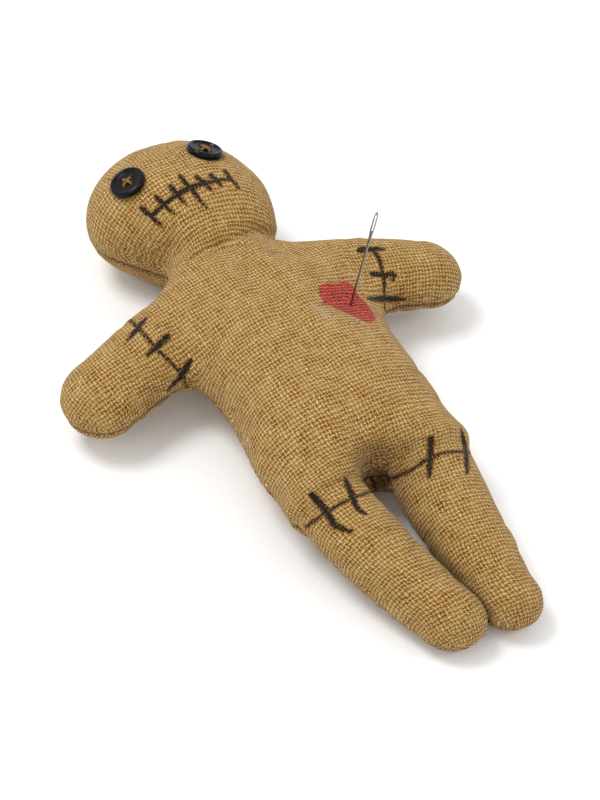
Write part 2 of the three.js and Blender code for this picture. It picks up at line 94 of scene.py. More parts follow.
ARM_SLOPE = math.radians(18.0)
ARM_STATIONS = {
    1: [(-38.5, 16.4, 14.2), (0.0, 16.4, 14.2), (25.4, 15.2, 12.4)],
    -1: [(-38.5, 17.7, 14.2), (0.0, 17.7, 14.2), (26.2, 16.8, 12.4)],
}
ARM_CAPS = (10.0, 15.0)
HAND_FALL = 5.0 / 41.5
HAND_FALL_LINES = (38.0, 50.0)
LEG_OUT = {1: 19.1, -1: 22.7}
LEG_STATIONS = {
    1: [(0.0, 17.6, 13.6), (29.5, 15.8, 13.3), (46.0, 15.1, 12.3), (60.4, 12.3, 11.0)],
    -1: [(0.0, 14.5, 12.5), (29.5, 15.2, 11.6), (58.0, 13.2, 11.0)],
}
LEG_CAPS = (14.5, 14.0)
LEG_FULL = 59.0
FOOT_OUT = {1: 10.0, -1: 12.0}
FOOT_SHIFT = 6.1
FOOT_CURVE = 1.5
FOOT_DRAW = 0.92
FOOT_DROP = 13.0
DROP_START = 4.0
DROP_EASE = 1.4
LEG_SOFT = 3.0
LEG_GAP = 0.25
CROTCH_DEPTH = 0.1 * LEG_FULL

# How softly the sections run into each other
NECK_SOFT = 5.0
SHOULDER_SOFT = 10.5
HIP_SOFT = 7.0
CROTCH_SOFT = 2.0
ARM_FOLD_LINES = (36.0, 42.0)

# How much higher the cloth between the legs ends, how wide that is and where its middle is
CROTCH_RISE = 6.0
CROTCH_WIDTH = 8.0
CROTCH_MIDDLE = -3.5

# How far the seam slides down from the middle of the sections, in how many slides, and between which lines the slide
# changes to that of the head and the arms
SEAM_DROP = 5.5
HEAD_SEAM_DROP = 7.0
ARM_SEAM_DROP = {1: 3.5, -1: 3.2}
SEAM_SLIDES = 4
HEAD_SEAM_LINES = (NECK_LINE - 8.0, NECK_LINE + 12.0)
ARM_SEAM_LINES = (42.0, 56.0)

# The grid that the skin is made on, how its steps are evened out, and how the cloth is laid flat
CLOTH_STEP = 2.0
GRID_REACH = (94.0, 140.0, 31.0)
LEAST_SLOPE = 0.004
EVEN_SHARES = (0.5, -0.53)
EVEN_ROUNDS = 4
FLAT_ROUNDS = 700
FLAT_START = 1.15
FLAT_KEEP = 0.93
FLAT_STEP = 0.35
SHEAR_STIFFNESS = 0.25
BACK_CLOTH_SHIFT = (260.3, 0.7)
TINY = 1e-6

# The fill presses the cloth outwards at ten times its size, while its seam and its creases hold it
PRESS_SCALE = 10.0
PRESS_FRAMES = 16
PRESS_LIMIT = 1.6
HOLD_LEVELS = 10
FOLD_HOLD = 0.9
FABRIC = {
    "quality": 6,
    "mass": 0.3,
    "tension_stiffness": 25,
    "compression_stiffness": 25,
    "shear_stiffness": 8,
    "bending_stiffness": 2,
    "use_pressure": True,
    "uniform_pressure_force": 5,
    "vertex_group_mass": "held",
    "pin_stiffness": 3,
    "shrink_min": -0.02,
}

# Relief of the cloth: the seam's groove and puckers, lumps of fill, wrinkles, and dents of the buttons and the table
GROOVE_DEPTH = 1.1
GROOVE_WIDTH = 1.3
PUCKER_LENGTH = 5.5
PUCKER_HEIGHT = 0.18
PUCKER_LEVEL = 0.7
PUCKER_REACH = 6.0
PUCKER_DRIFT = 5.0
PUCKER_PATCH = 9.0
LUMP_SIZE = 17.0
LUMP_HEIGHT = 0.35
WRINKLE_REACH = 5.0
WRINKLE_ENDS = (0.03, 0.97)
WRINKLE_FADE = 0.7
RIDGE_OUT = 2.0
RIDGE_HEIGHT = 0.4
BUTTON_SINK = 0.25
BUTTON_DENT = (7.6, 9.5)
TABLE_SOFT = 1.0


def smooth_step(low, high, value):
    t = np.clip((value - low) / (high - low), 0, 1)
    return t * t * (3 - 2 * t)


def bell(gap, reach):
    """1 in the middle, and falling off on every side."""
    return np.exp(-((gap / reach) ** 2))


def lengths(rows):
    return np.linalg.norm(rows, axis=1)


def run_along(places):
    """How far along a line each of its places is."""
    return np.concatenate([[0], np.cumsum(lengths(np.diff(places, axis=0)))])


# Meshes and pieces

def shown(name, data):
    piece = bpy.data.objects.new(name, data)
    bpy.context.scene.collection.objects.link(piece)
    return piece


def made_plain(piece):
    """The mesh that a piece's modifiers make, in place of the piece."""
    mesh = bpy.data.meshes.new_from_object(piece.evaluated_get(bpy.context.evaluated_depsgraph_get()))
    bpy.data.objects.remove(piece)
    return mesh


def new_mesh(name, points, edges=(), faces=()):
    mesh = bpy.data.meshes.new(name)
    mesh.from_pydata(*(np.asarray(part).tolist() for part in (points, edges, faces)))
    return mesh


def as_mesh(name, part):
    """A bmesh as a mesh. The bmesh is let go."""
    mesh = bpy.data.meshes.new(name)
    part.to_mesh(mesh)
    part.free()
    return mesh


def without_faces(mesh, name, dropped):
    """A copy of a mesh without the faces that a test picks."""
    part = bmesh.new()
    part.from_mesh(mesh)
    bmesh.ops.delete(part, geom=[face for face in part.faces if dropped(face)], context="FACES")
    return as_mesh(name, part)


def fetched(items, name, width=1, kind=np.float32):
    """One property of each item in a Blender collection."""
    values = np.zeros(len(items) * width, kind)
    items.foreach_get(name, values)
    values = values.reshape(-1, width) if width > 1 else values
    return values.astype(float) if kind is np.float32 else values


def new_attribute(mesh, name, values):
    attribute = mesh.attributes.new(name, "FLOAT", "POINT")
    attribute.data.foreach_set("value", values.astype(np.float32))


def read_attribute(mesh, name):
    return fetched(mesh.attributes[name].data, "value")


def places_of(mesh):
    """A mesh's corners in millimetres."""
    return fetched(mesh.vertices, "co", 3) / MM


def normals_of(mesh):
    return fetched(mesh.vertex_normals, "vector", 3)


# Camera

def view_axes():
    a, e, r = (math.radians(v) for v in (VIEW_AZIMUTH, VIEW_ELEVATION, VIEW_ROLL))
    back = np.array((math.sin(a) * math.cos(e), -math.cos(a) * math.cos(e), math.sin(e)))
    right = np.array((math.cos(a), math.sin(a), 0.0))
    up = np.cross(back, right)
    turned_right = math.cos(r) * right + math.sin(r) * up
    turned_up = math.cos(r) * up - math.sin(r) * right
    return turned_right, turned_up, back


RIGHT, UP, BACK = view_axes()
EYE = VIEW_TARGET + VIEW_DISTANCE * BACK


def make_camera():
    data = bpy.data.cameras.new("photo_camera")
    data.sensor_width = SENSOR
    data.lens = VIEW_FOCAL / PHOTO_HEIGHT * SENSOR
    data.clip_end = VIEW_END
    camera = shown("photo_camera", data)
    turn = Matrix([list(row) for row in np.stack([RIGHT, UP, BACK], 1)])
    camera.matrix_world = Matrix.Translation(Vector(EYE * MM)) @ turn.to_4x4()
    bpy.context.scene.camera = camera


def pixel_ray(pixel):
    across = (pixel[0] - PHOTO_WIDTH / 2) / VIEW_FOCAL
    rise = (PHOTO_HEIGHT / 2 - pixel[1]) / VIEW_FOCAL
    ray = across * RIGHT + rise * UP - BACK
    return ray / np.linalg.norm(ray)


# Form of the stuffed doll, in a flat state with its seam at height 0

def run_through(stations, at):
    """Values that run smoothly through the stations, at the places asked for."""
    knots = np.array(stations, float)
    place, value = knots[:, 0], knots[:, 1:]
    slope = np.gradient(value, place, axis=0)
    cell = np.clip(np.searchsorted(place, at) - 1, 0, len(place) - 2)
    width = np.diff(place)[cell]
    t = np.clip((at - place[cell]) / width, 0, 1)
    t, width = t[..., None], width[..., None]
    start = (2 * t**3 - 3 * t**2 + 1) * value[cell] + (t**3 - 2 * t**2 + t) * width * slope[cell]
    end = (3 * t**2 - 2 * t**3) * value[cell + 1] + (t**3 - t**2) * width * slope[cell + 1]
    return np.moveaxis(start + end, -1, 0)


def to_distance(size):
    """A form's measure, which is 1 on its surface, as millimetres from that surface."""
    slope = np.sqrt(sum(g * g for g in np.gradient(size, CLOTH_STEP)))
    return (size - 1) / np.maximum(slope, LEAST_SLOPE)


def arm_place(x, y, side):
    out, down = side * x - ARM_JOINT[0], ARM_JOINT[1] - y
    along = out * math.cos(ARM_SLOPE) + down * math.sin(ARM_SLOPE)
    across = out * math.sin(ARM_SLOPE) - down * math.cos(ARM_SLOPE)
    return along, across


def head_place(x, y):
    along = (y - NECK_LINE) * math.cos(HEAD_TILT) - x * math.sin(HEAD_TILT)
    across = x * math.cos(HEAD_TILT) + (y - NECK_LINE) * math.sin(HEAD_TILT)
    return along, across + HEAD_ASIDE * smooth_step(0, HEAD_CENTRE, along)


def leg_place(x, y, side):
    return HIP_LINE - y, x - side * LEG_OUT[side]


def keep_apart(points, own_leg):
    """Each leg's cloth stays on its own side of the place where the legs meet."""
    below = HIP_LINE - points[:, 1]
    between = FOOT_SHIFT * (np.maximum(below, 0) / LEG_FULL) ** FOOT_CURVE
    kept_left = np.maximum(points[:, 0], between + LEG_GAP)
    kept_right = np.minimum(points[:, 0], between - LEG_GAP)
    kept = np.where(own_leg > 0, kept_left, kept_right)
    points[:, 0] = np.where(below > CROTCH_DEPTH, kept, points[:, 0])
    return points


def draw_legs(points, own_leg):
    """The legs, straight in the flat state, lie against each other and a little to one side."""
    share = np.maximum(HIP_LINE - points[:, 1], 0) / LEG_FULL
    drawn = 1 - np.maximum(1 - share, 0) ** FOOT_DRAW
    inwards = np.where(own_leg > 0, LEG_OUT[1] - FOOT_OUT[1], LEG_OUT[-1] - FOOT_OUT[-1])
    points[:, 0] += FOOT_SHIFT * share**FOOT_CURVE - own_leg * inwards * drawn
    return keep_apart(points, own_leg)


def long_form(along, across, h, stations, caps):
    """A torso or a limb through its stations, with rounded ends that reach past them."""
    width, thick, *aside = run_through(stations, along)
    ends = np.maximum(stations[0][0] - along, 0) / caps[0] + np.maximum(along - stations[-1][0], 0) / caps[1]
    return to_distance(np.sqrt(((across - sum(aside)) / width) ** 2 + (h / thick) ** 2 + ends**2))


def torso_form(x, y, h):
    along = y - HIP_LINE
    raised = CROTCH_RISE * bell(x - CROTCH_MIDDLE, CROTCH_WIDTH)
    along = along - raised * (1 - smooth_step(0, 4 * CROTCH_RISE, along))
    return long_form(along, x, h, TORSO_STATIONS, TORSO_CAPS)


def head_form(x, y, h):
    along, across = head_place(x, y)
    low_right = smooth_step(0, HEAD_WIDTH / 4, -across) * (1 - smooth_step(*CHEEK_LINES, along))
    half_width = HEAD_WIDTH / 2 * (1 - RIGHT_CHEEK * low_right)
    round_size = np.sqrt((across / half_width) ** 2 + (h / (HEAD_THICKNESS / 2)) ** 2)
    long_size = np.abs(along - HEAD_CENTRE) / (HEAD_HEIGHT / 2)
    power = HEAD_SQUARENESS
    return to_distance((round_size**power + long_size**power) ** (1 / power))


def join_soft(a, b, soft):
    """Two forms in one with a soft fold, and how deep in the fold each place is."""
    near = np.maximum(soft - np.abs(a - b), 0) / soft
    return np.minimum(a, b) - near * near * soft / 4, near


def middle_height(x, y):
    """Height of the seam above the table: the head lies higher, and the hands and feet lower."""
    head = HEAD_RISE * smooth_step(NECK_LINE, NECK_LINE + HEAD_CENTRE, y)
    leg_run = np.maximum(HIP_LINE - y, 0)
    share = leg_run**2 / (leg_run + DROP_START) / LEG_FULL
    foot = FOOT_DROP * (1 - np.maximum(1 - share, 0) ** DROP_EASE)
    arm_run = np.maximum(arm_place(x, y, np.sign(x))[0], 0) * smooth_step(*HAND_FALL_LINES, np.abs(x))
    return MID_HEIGHT + head - foot - HAND_FALL * arm_run


def doll_form():
    """How far outside the doll each place of a grid is, how deep in a fold, and where the grid starts."""
    axes = [np.arange(-reach, reach + 0.1, CLOTH_STEP) for reach in GRID_REACH]
    x, y, h = np.meshgrid(*axes, indexing="ij")
    body = torso_form(x, y, h)
    folds = []
    for side in (1, -1):
        arm = long_form(*arm_place(x, y, side), h, ARM_STATIONS[side], ARM_CAPS)
        body, fold = join_soft(body, arm, SHOULDER_SOFT)
        folds.append(fold * smooth_step(*ARM_FOLD_LINES, np.abs(x)))
    legs = [long_form(*leg_place(x, y, side), h, LEG_STATIONS[side], LEG_CAPS) for side in (1, -1)]
    both, fold = join_soft(*legs, CROTCH_SOFT)
    folds.append(fold)
    body, fold = join_soft(body, both, HIP_SOFT)
    folds.append(fold * (np.abs(x) < CROTCH_WIDTH))
    body, fold = join_soft(body, head_form(x, y, h), NECK_SOFT)
    folds.append(fold)
    return body, np.max(folds, axis=0), -np.array(GRID_REACH)


def skin_of(form, origin):
    """A quad skin with one corner in each cell that the form's surface crosses."""
    cells = np.array(form.shape) - 1
    total = np.zeros((*cells, 3))
    count = np.zeros(cells)
    crossings = []
    for axis in range(3):
        low = np.take(form, range(cells[axis]), axis)
        high = np.take(form, range(1, cells[axis] + 1), axis)
        at = np.argwhere((low < 0) != (high < 0))
        one, two = low[tuple(at.T)], high[tuple(at.T)]
        place = at.astype(float)
        place[:, axis] += one / (one - two)
        around = []
        for a, b in ((1, 1), (0, 1), (0, 0), (1, 0)):
            cell = at.copy()
            cell[:, (axis + 1) % 3] -= a
            cell[:, (axis + 2) % 3] -= b
            np.add.at(total, tuple(cell.T), place)
            np.add.at(count, tuple(cell.T), 1)
            around.append(cell)
        crossings.append((around, one < 0))
    used = count > 0
    number = np.full(used.shape, -1)
    number[used] = np.arange(used.sum())
    points = total[used] / count[used][:, None] * CLOTH_STEP + origin
    quads = []
    for around, outward in crossings:
        quad = np.stack([number[tuple(cell.T)] for cell in around], 1)
        quads.append(np.where(outward[:, None], quad, quad[:, ::-1]))
    return points, np.concatenate(quads), np.argwhere(used)


def neighbours_mean(points, edges):
    total = np.zeros_like(points)
    np.add.at(total, edges[:, 0], points[edges[:, 1]])
    np.add.at(total, edges[:, 1], points[edges[:, 0]])
    return total / np.bincount(edges.ravel(), minlength=len(points))[:, None]


def edges_of(quads):
    pairs = np.concatenate([quads[:, [k, (k + 1) % 4]] for k in range(4)])
    return np.unique(np.sort(pairs, 1), axis=0)


def even_out(points, edges, seam):
    """Takes the grid's small steps out of the skin, and keeps its size and its seam level."""
    for share in EVEN_SHARES * EVEN_ROUNDS:
        points = points + share * (neighbours_mean(points, edges) - points)
        points[seam, 2] = 0
    return points


def lower_seam(points, quads):
    """The cloth slid downwards over the unchanged form, so that its seam lies nearer to the table."""
    form = BVHTree.FromPolygons(points.tolist(), quads.tolist())
    head = smooth_step(*HEAD_SEAM_LINES, points[:, 1])
    arm = smooth_step(*ARM_SEAM_LINES, np.abs(points[:, 0]))
    arm_drop = np.where(points[:, 0] > 0, ARM_SEAM_DROP[1], ARM_SEAM_DROP[-1])
    drop = SEAM_DROP + (HEAD_SEAM_DROP - SEAM_DROP) * head + (arm_drop - SEAM_DROP) * arm
    for _ in range(SEAM_SLIDES):
        slope = np.array([form.find_nearest(p)[1].z for p in points.tolist()])
        points = points - (drop / SEAM_SLIDES * (1 - slope**2))[:, None] * (0, 0, 1)
        points = np.array([form.find_nearest(p)[0] for p in points.tolist()])
    return points


def lay_flat(points, quads):
    """The flat cut of one side's cloth: threads keep their length, and the weave shears where the form bulges."""
    edges = edges_of(quads)
    links = np.concatenate([edges, quads[:, [0, 2]], quads[:, [1, 3]]])
    stiff = np.concatenate([np.ones(len(edges)), np.full(2 * len(quads), SHEAR_STIFFNESS)])
    a, b = links.T
    rest = lengths(points[a] - points[b])
    size = len(points)
    load = np.bincount(a, stiff, size) + np.bincount(b, stiff, size)
    flat = points[:, :2] * FLAT_START
    speed = np.zeros_like(flat)
    for _ in range(FLAT_ROUNDS):
        span = flat[b] - flat[a]
        length = np.maximum(lengths(span), TINY)
        pull = (stiff * (length - rest) / length)[:, None] * span
        move = np.stack([np.bincount(a, p, size) - np.bincount(b, p, size) for p in pull.T], 1)
        speed = FLAT_KEEP * speed + FLAT_STEP * move / load[:, None]
        flat = flat + speed
    return flat


def seam_layer(cells):
    return (cells[:, 2].min() + cells[:, 2].max()) // 2


def cloth_map(points, quads, cells):
    """Where each corner of each quad lies on the flat cut of the front or the back cloth."""
    in_front = cells[:, 2][quads].mean(1) > seam_layer(cells)
    corners = np.zeros((len(quads), 4, 2))
    for side, turn, shift in ((in_front, (1, 1), (0, 0)), (~in_front, (-1, 1), BACK_CLOTH_SHIFT)):
        used, number = np.unique(quads[side], return_inverse=True)
        number = number.reshape(-1, 4)
        corners[side] = (lay_flat(points[used], number) * turn + shift)[number]
    return corners


def press(points, quads, held):
    """The cloth as the fill presses it outwards."""
    piece = shown("pressed_cloth", new_mesh("pressed_cloth", points * MM * PRESS_SCALE, faces=quads))
    group = piece.vertex_groups.new(name="held")
    level = np.round(np.clip(held, 0, 1) * HOLD_LEVELS).astype(int)
    for value in range(1, HOLD_LEVELS + 1):
        group.add(np.flatnonzero(level == value).tolist(), value / HOLD_LEVELS, "REPLACE")
    cloth = piece.modifiers.new("press", "CLOTH")
    for name, value in FABRIC.items():
        setattr(cloth.settings, name, value)
    cloth.settings.effector_weights.gravity = 0
    cloth.collision_settings.use_collision = False
    cloth.collision_settings.use_self_collision = False
    cloth.point_cache.frame_end = PRESS_FRAMES
    for number in range(1, PRESS_FRAMES + 1):
        bpy.context.scene.frame_set(number)
    moved = places_of(made_plain(piece)) / PRESS_SCALE - points
    bpy.context.scene.frame_set(1)
    limit = np.minimum(1, PRESS_LIMIT / np.maximum(lengths(moved), TINY))
    return points + moved * limit[:, None]


def base_skin():
    """The stuffed skin as one mesh of quads, with its flat cut as the UV map, its seam and its legs marked."""
    form, folds, origin = doll_form()
    points, quads, cells = skin_of(form, origin)
    seam = cells[:, 2] == seam_layer(cells)
    points = lower_seam(even_out(points, edges_of(quads), seam), quads)
    corners = cloth_map(points, quads, cells)
    own_leg = np.clip(points[:, 0] / LEG_SOFT, -1, 1)
    points = draw_legs(points, own_leg)
    points[:, 2] += middle_height(points[:, 0], points[:, 1])
    points = press(points, quads, np.maximum(seam, FOLD_HOLD * folds[tuple(cells.T)]))
    mesh = new_mesh("doll_skin", points * MM, faces=quads)
    mesh.uv_layers.new(name="cloth").uv.foreach_set("vector", corners.astype(np.float32).ravel())
    new_attribute(mesh, "seam", seam)
    new_attribute(mesh, "own_leg", own_leg)
    skin = shown("doll_skin", mesh)
    finer = skin.modifiers.new("finer", "SUBSURF")
    finer.levels = finer.render_levels = 1
    finer.uv_smooth = "NONE"
    return made_plain(skin)


def seam_loop(mesh):
    """The seam's corners in order round the doll."""
    seam = read_attribute(mesh, "seam")
    pairs = fetched(mesh.edges, "vertices", 2, np.int32)
    beside = {}
    for a, b in pairs[(seam[pairs] > 0.99).all(1)]:
        beside.setdefault(a, []).append(b)
        beside.setdefault(b, []).append(a)
    first = max(beside, key=lambda k: mesh.vertices[k].co.y)
    loop, last = [first], None
    while True:
        onward = [k for k in beside[loop[-1]] if k != last]
        last = loop[-1]
        if not onward or onward[0] == first:
            return np.array(loop)
        loop.append(onward[0])


# Marks of the photograph, as pixels that are carried onto the skin along the camera's rays

LINE_STEPS = 3
# Lines of ink with their widths in millimetres, and the strokes across them
INK_LINES = {
    "mouth": ([(151, 217), (165, 204), (180, 193), (195, 186), (210, 182), (230, 180), (237, 183)], 1.7),
    "right_arm": ([(127, 317), (140, 330), (155, 347), (170, 362), (182, 375), (187, 387)], 0.8),
    "left_arm": ([(371, 249), (378, 257), (381, 266), (384, 278), (384, 292), (385, 311)], 1.0),
    "right_leg": ([(306, 527), (325, 513), (348, 500), (373, 491)], 0.7),
    "left_leg": ([(389, 480), (409, 471), (428, 459), (448, 452), (473, 453)], 0.7),
    "crotch": ([(372, 479), (377, 492), (381, 500)], 0.5),
}
INK_STROKES = {
    "mouth": [
        [(142, 208), (152, 217), (162, 227)],
        [(156, 197), (165, 206), (174, 214)],
        [(170, 186), (178, 195), (186, 205)],
        [(180, 176), (192, 190), (207, 209)],
        [(197, 177), (205, 184), (213, 192)],
        [(211, 175), (217, 181), (223, 187)],
        [(225, 171), (232, 180), (240, 190)],
    ],
    "right_arm": [
        [(145, 319), (137, 329), (128, 340)],
        [(168, 336), (158, 346), (147, 355)],
        [(190, 361), (181, 376), (168, 390)],
    ],
    "left_arm": [
        [(359, 250), (371, 249), (384, 249)],
        [(372, 274), (384, 275), (394, 275), (393, 280)],
        [(369, 299), (386, 299), (405, 299)],
    ],
    "right_leg": [
        [(312, 495), (327, 513), (335, 525), (352, 532)],
        [(346, 480), (353, 498), (359, 510), (366, 514)],
    ],
    "left_leg": [
        [(431, 439), (430, 459), (429, 477)],
        [(462, 432), (466, 453), (467, 473)],
    ],
}
INK_STROKE_WIDTH = 2.3
STROKE_SWELL = 0.25
MOUTH_FADE = 0.55
STROKE_FADE = 0.2
STROKE_TAPER = 0.45
DRY_START = 0.4
INK_REACH = 4.0
MARK_EDGE = 1.2
HEART_OUTLINE = [
    (319, 293), (319, 287), (326, 283), (334, 284), (340, 282), (348, 282), (356, 290), (363, 300),
    (372, 311), (376, 319), (370, 324), (358, 319), (344, 312), (333, 307), (324, 303),
]
HEART_MIDDLE = (346, 300)
HEART_REACH = 30.0
PAINT_SMEARS = [(320, 309), (324, 314), (327, 316), (333, 306)]
SMEAR_SIZE = 1.5
# Wrinkles: a line of pixels, and the depth and width in millimetres
WRINKLES = {
    "neck": (
        [(176, 274), (190, 259), (206, 249), (222, 241), (240, 234), (256, 230), (268, 232), (279, 240)], 2.3, 1.7,
    ),
    "below_neck": ([(210, 255), (232, 247), (252, 242), (268, 243)], 0.6, 1.2),
    "chin": ([(198, 246), (218, 235), (240, 226), (262, 222)], 1.0, 1.2),
    "right_armpit": ([(190, 388), (204, 376), (220, 366)], 0.5, 1.6),
    "right_shoulder": ([(189, 389), (196, 374), (203, 356)], 0.5, 1.6),
    "left_shoulder": ([(366, 262), (372, 285), (378, 306)], 0.5, 2.0),
    "crotch_up": ([(381, 488), (384, 474), (386, 460)], 0.7, 1.5),
    "crotch_right": ([(378, 487), (366, 480), (354, 476)], 0.5, 1.5),
    "crotch_left": ([(385, 485), (397, 478), (409, 473)], 0.5, 1.5),
}

# Hollows in the fill: a pixel in the middle, the depth and reach in millimetres, and how dark the shade painted in the
# hollow is
HOLLOWS = {
    "crotch_pit": ((381, 481), 2.8, 3.4, 0.8),
    "above_crotch": ((391, 463), 1.2, 11.0, 0.36),
    "needle_stab": ((352, 298), 3.2, 13.0, 0.0),
    "left_of_neck": ((285, 244), 3.8, 9.5, 0.0),
    "left_shoulder": ((372, 258), 1.6, 8.0, 0.0),
}
# How dark the shade painted along the seam's groove is, how much and how often that varies, and how wide it is
SEAM_SHADE = 0.85
SEAM_SHADE_CHANGE = 0.5
SEAM_SHADE_PATCHES = 1.5
SEAM_SHADE_WIDTH = 0.95
NEEDLE_DENT = 0.9
NEEDLE_DENT_REACH = 2.2


def skin_tree(mesh):
    mesh.calc_loop_triangles()
    corners = [tuple(t.vertices) for t in mesh.loop_triangles]
    return BVHTree.FromPolygons([v.co for v in mesh.vertices], corners)


def on_skin(tree, pixel):
    """The place and normal where a photograph's pixel meets the skin, in millimetres, or None."""
    place, normal, _, _ = tree.ray_cast(Vector(EYE * MM), Vector(pixel_ray(pixel)))
    return None if place is None else (np.array(place) / MM, np.array(normal))


def spots_on_skin(tree, pixels):
    return np.array([hit[0] for pixel in pixels if (hit := on_skin(tree, pixel))])


def line_on_skin(tree, pixels):
    """Places close together along a line of pixels, and how far along it each is, from 0 to 1."""
    knots = np.array(pixels, float)
    run = run_along(knots)
    at = np.linspace(0, run[-1], int(run[-1] * LINE_STEPS) + 2)
    line = run_through(np.column_stack([run, knots]), at).T
    hits = [(hit[0], share) for pixel, share in zip(line, at / run[-1]) if (hit := on_skin(tree, pixel))]
    return np.array([place for place, _ in hits]), np.array([share for _, share in hits])


def nearest(places, found, reach):
    """For each place, how far the nearest of the found ones is and which one that is."""
    tree = KDTree(len(found))
    for number, place in enumerate(found):
        tree.insert(place, number)
    tree.balance()
    far = np.full(len(places), reach)
    which = np.zeros(len(places), int)
    low, high = found.min(0) - reach, found.max(0) + reach
    for k in np.flatnonzero(((places > low) & (places < high)).all(1)):
        _, number, distance = tree.find(places[k])
        if distance < reach:
            far[k], which[k] = distance, number
    return far, which


def joint_named(name):
    joint = next(j for j in frame["joints"] if j["name"] == name)
    axis = np.array(joint["axis"], float)
    return joint, axis / np.linalg.norm(axis)


def eye_seat(name):
    """The middle of a button's back and the way the button faces, from its joint and its CAD node."""
    joint, axis = joint_named(f"eye_{name}_twist")
    centre = np.array(joint["pos_m"]) / MM
    lowest = (places_of(frame["nodes"][f"button_{name}"].data) @ axis).min()
    return centre + axis * (lowest - centre @ axis), axis


def needle_line():
    """The needle's point and the way it stands, from its CAD node."""
    _, axis = joint_named("needle_push")
    corners = places_of(frame["nodes"]["needle"].data)
    return corners[np.argmin(corners @ axis)], axis


def about_axis(places, origin, axis):
    """How high along an axis each place is, and how far from it."""
    out = places - origin
    height = out @ axis
    return height, lengths(out - height[:, None] * axis)


def shape_details(mesh, loop):
    """Seam groove, puckers, lumps of fill and wrinkles, and the dents of the buttons, the needle and the table."""
    places = places_of(mesh)
    ring = places[loop]
    run = run_along(ring)
    far, which = nearest(places, ring, 3 * PUCKER_REACH)
    beat = np.array([noise.noise((s / PUCKER_PATCH, 0.3, 7.1)) for s in run])[which]
    pucker = np.sin(2 * np.pi * run[which] / PUCKER_LENGTH + PUCKER_DRIFT * beat) * bell(far, PUCKER_REACH)
    rise = PUCKER_HEIGHT * (PUCKER_LEVEL + beat) * pucker
    rise -= GROOVE_DEPTH * bell(far, GROOVE_WIDTH)
    rise += LUMP_HEIGHT * np.array([noise.noise(Vector(p / LUMP_SIZE)) for p in places])
    tree = skin_tree(mesh)
    for pixels, depth, width in WRINKLES.values():
        line, share = line_on_skin(tree, pixels)
        gap, number = nearest(places, line, WRINKLE_REACH * width)
        fade = np.sin(np.pi * np.clip(share[number], *WRINKLE_ENDS)) ** WRINKLE_FADE
        ridge = bell(gap - RIDGE_OUT * width, width) * (gap < WRINKLE_REACH * width)
        rise += depth * fade * (RIDGE_HEIGHT * ridge - bell(gap, width))
    _, beside = about_axis(places, *needle_line())
    rise -= NEEDLE_DENT * bell(beside, NEEDLE_DENT_REACH) * (places[:, 2] > MID_HEIGHT)
    for pixel, depth, reach, _ in HOLLOWS.values():
        rise -= depth * bell(lengths(places - on_skin(tree, pixel)[0]), reach)
    places = places + rise[:, None] * normals_of(mesh)
    for name in ("left", "right"):
        seat, axis = eye_seat(name)
        height, radius = about_axis(places, seat, axis)
        over = np.maximum(height + BUTTON_SINK, 0) * (1 - smooth_step(*BUTTON_DENT, radius))
        places -= over[:, None] * axis
    places = keep_apart(places, read_attribute(mesh, "own_leg"))
    z = places[:, 2].clip(0)
    places[:, 2] = np.where(z < TABLE_SOFT, z * (z / TABLE_SOFT + 1) / 2, z)
    mesh.vertices.foreach_set("co", (places * MM).astype(np.float32).ravel())
    mesh.update()


def polygon_distance(points, outline):
    """Millimetres inside an outline, or below 0 outside it."""
    inside = np.zeros(len(points), bool)
    far = np.full(len(points), np.inf)
    for a, b in zip(outline, np.roll(outline, -1, axis=0)):
        side = b - a
        share = np.clip((points - a) @ side / (side @ side), 0, 1)
        far = np.minimum(far, np.linalg.norm(points - a - share[:, None] * side, axis=1))
        crosses = (a[1] > points[:, 1]) != (b[1] > points[:, 1])
        inside ^= crosses & (points[:, 0] < a[0] + (points[:, 1] - a[1]) / (side[1] + 1e-9) * side[0])
    return np.where(inside, far, -far)


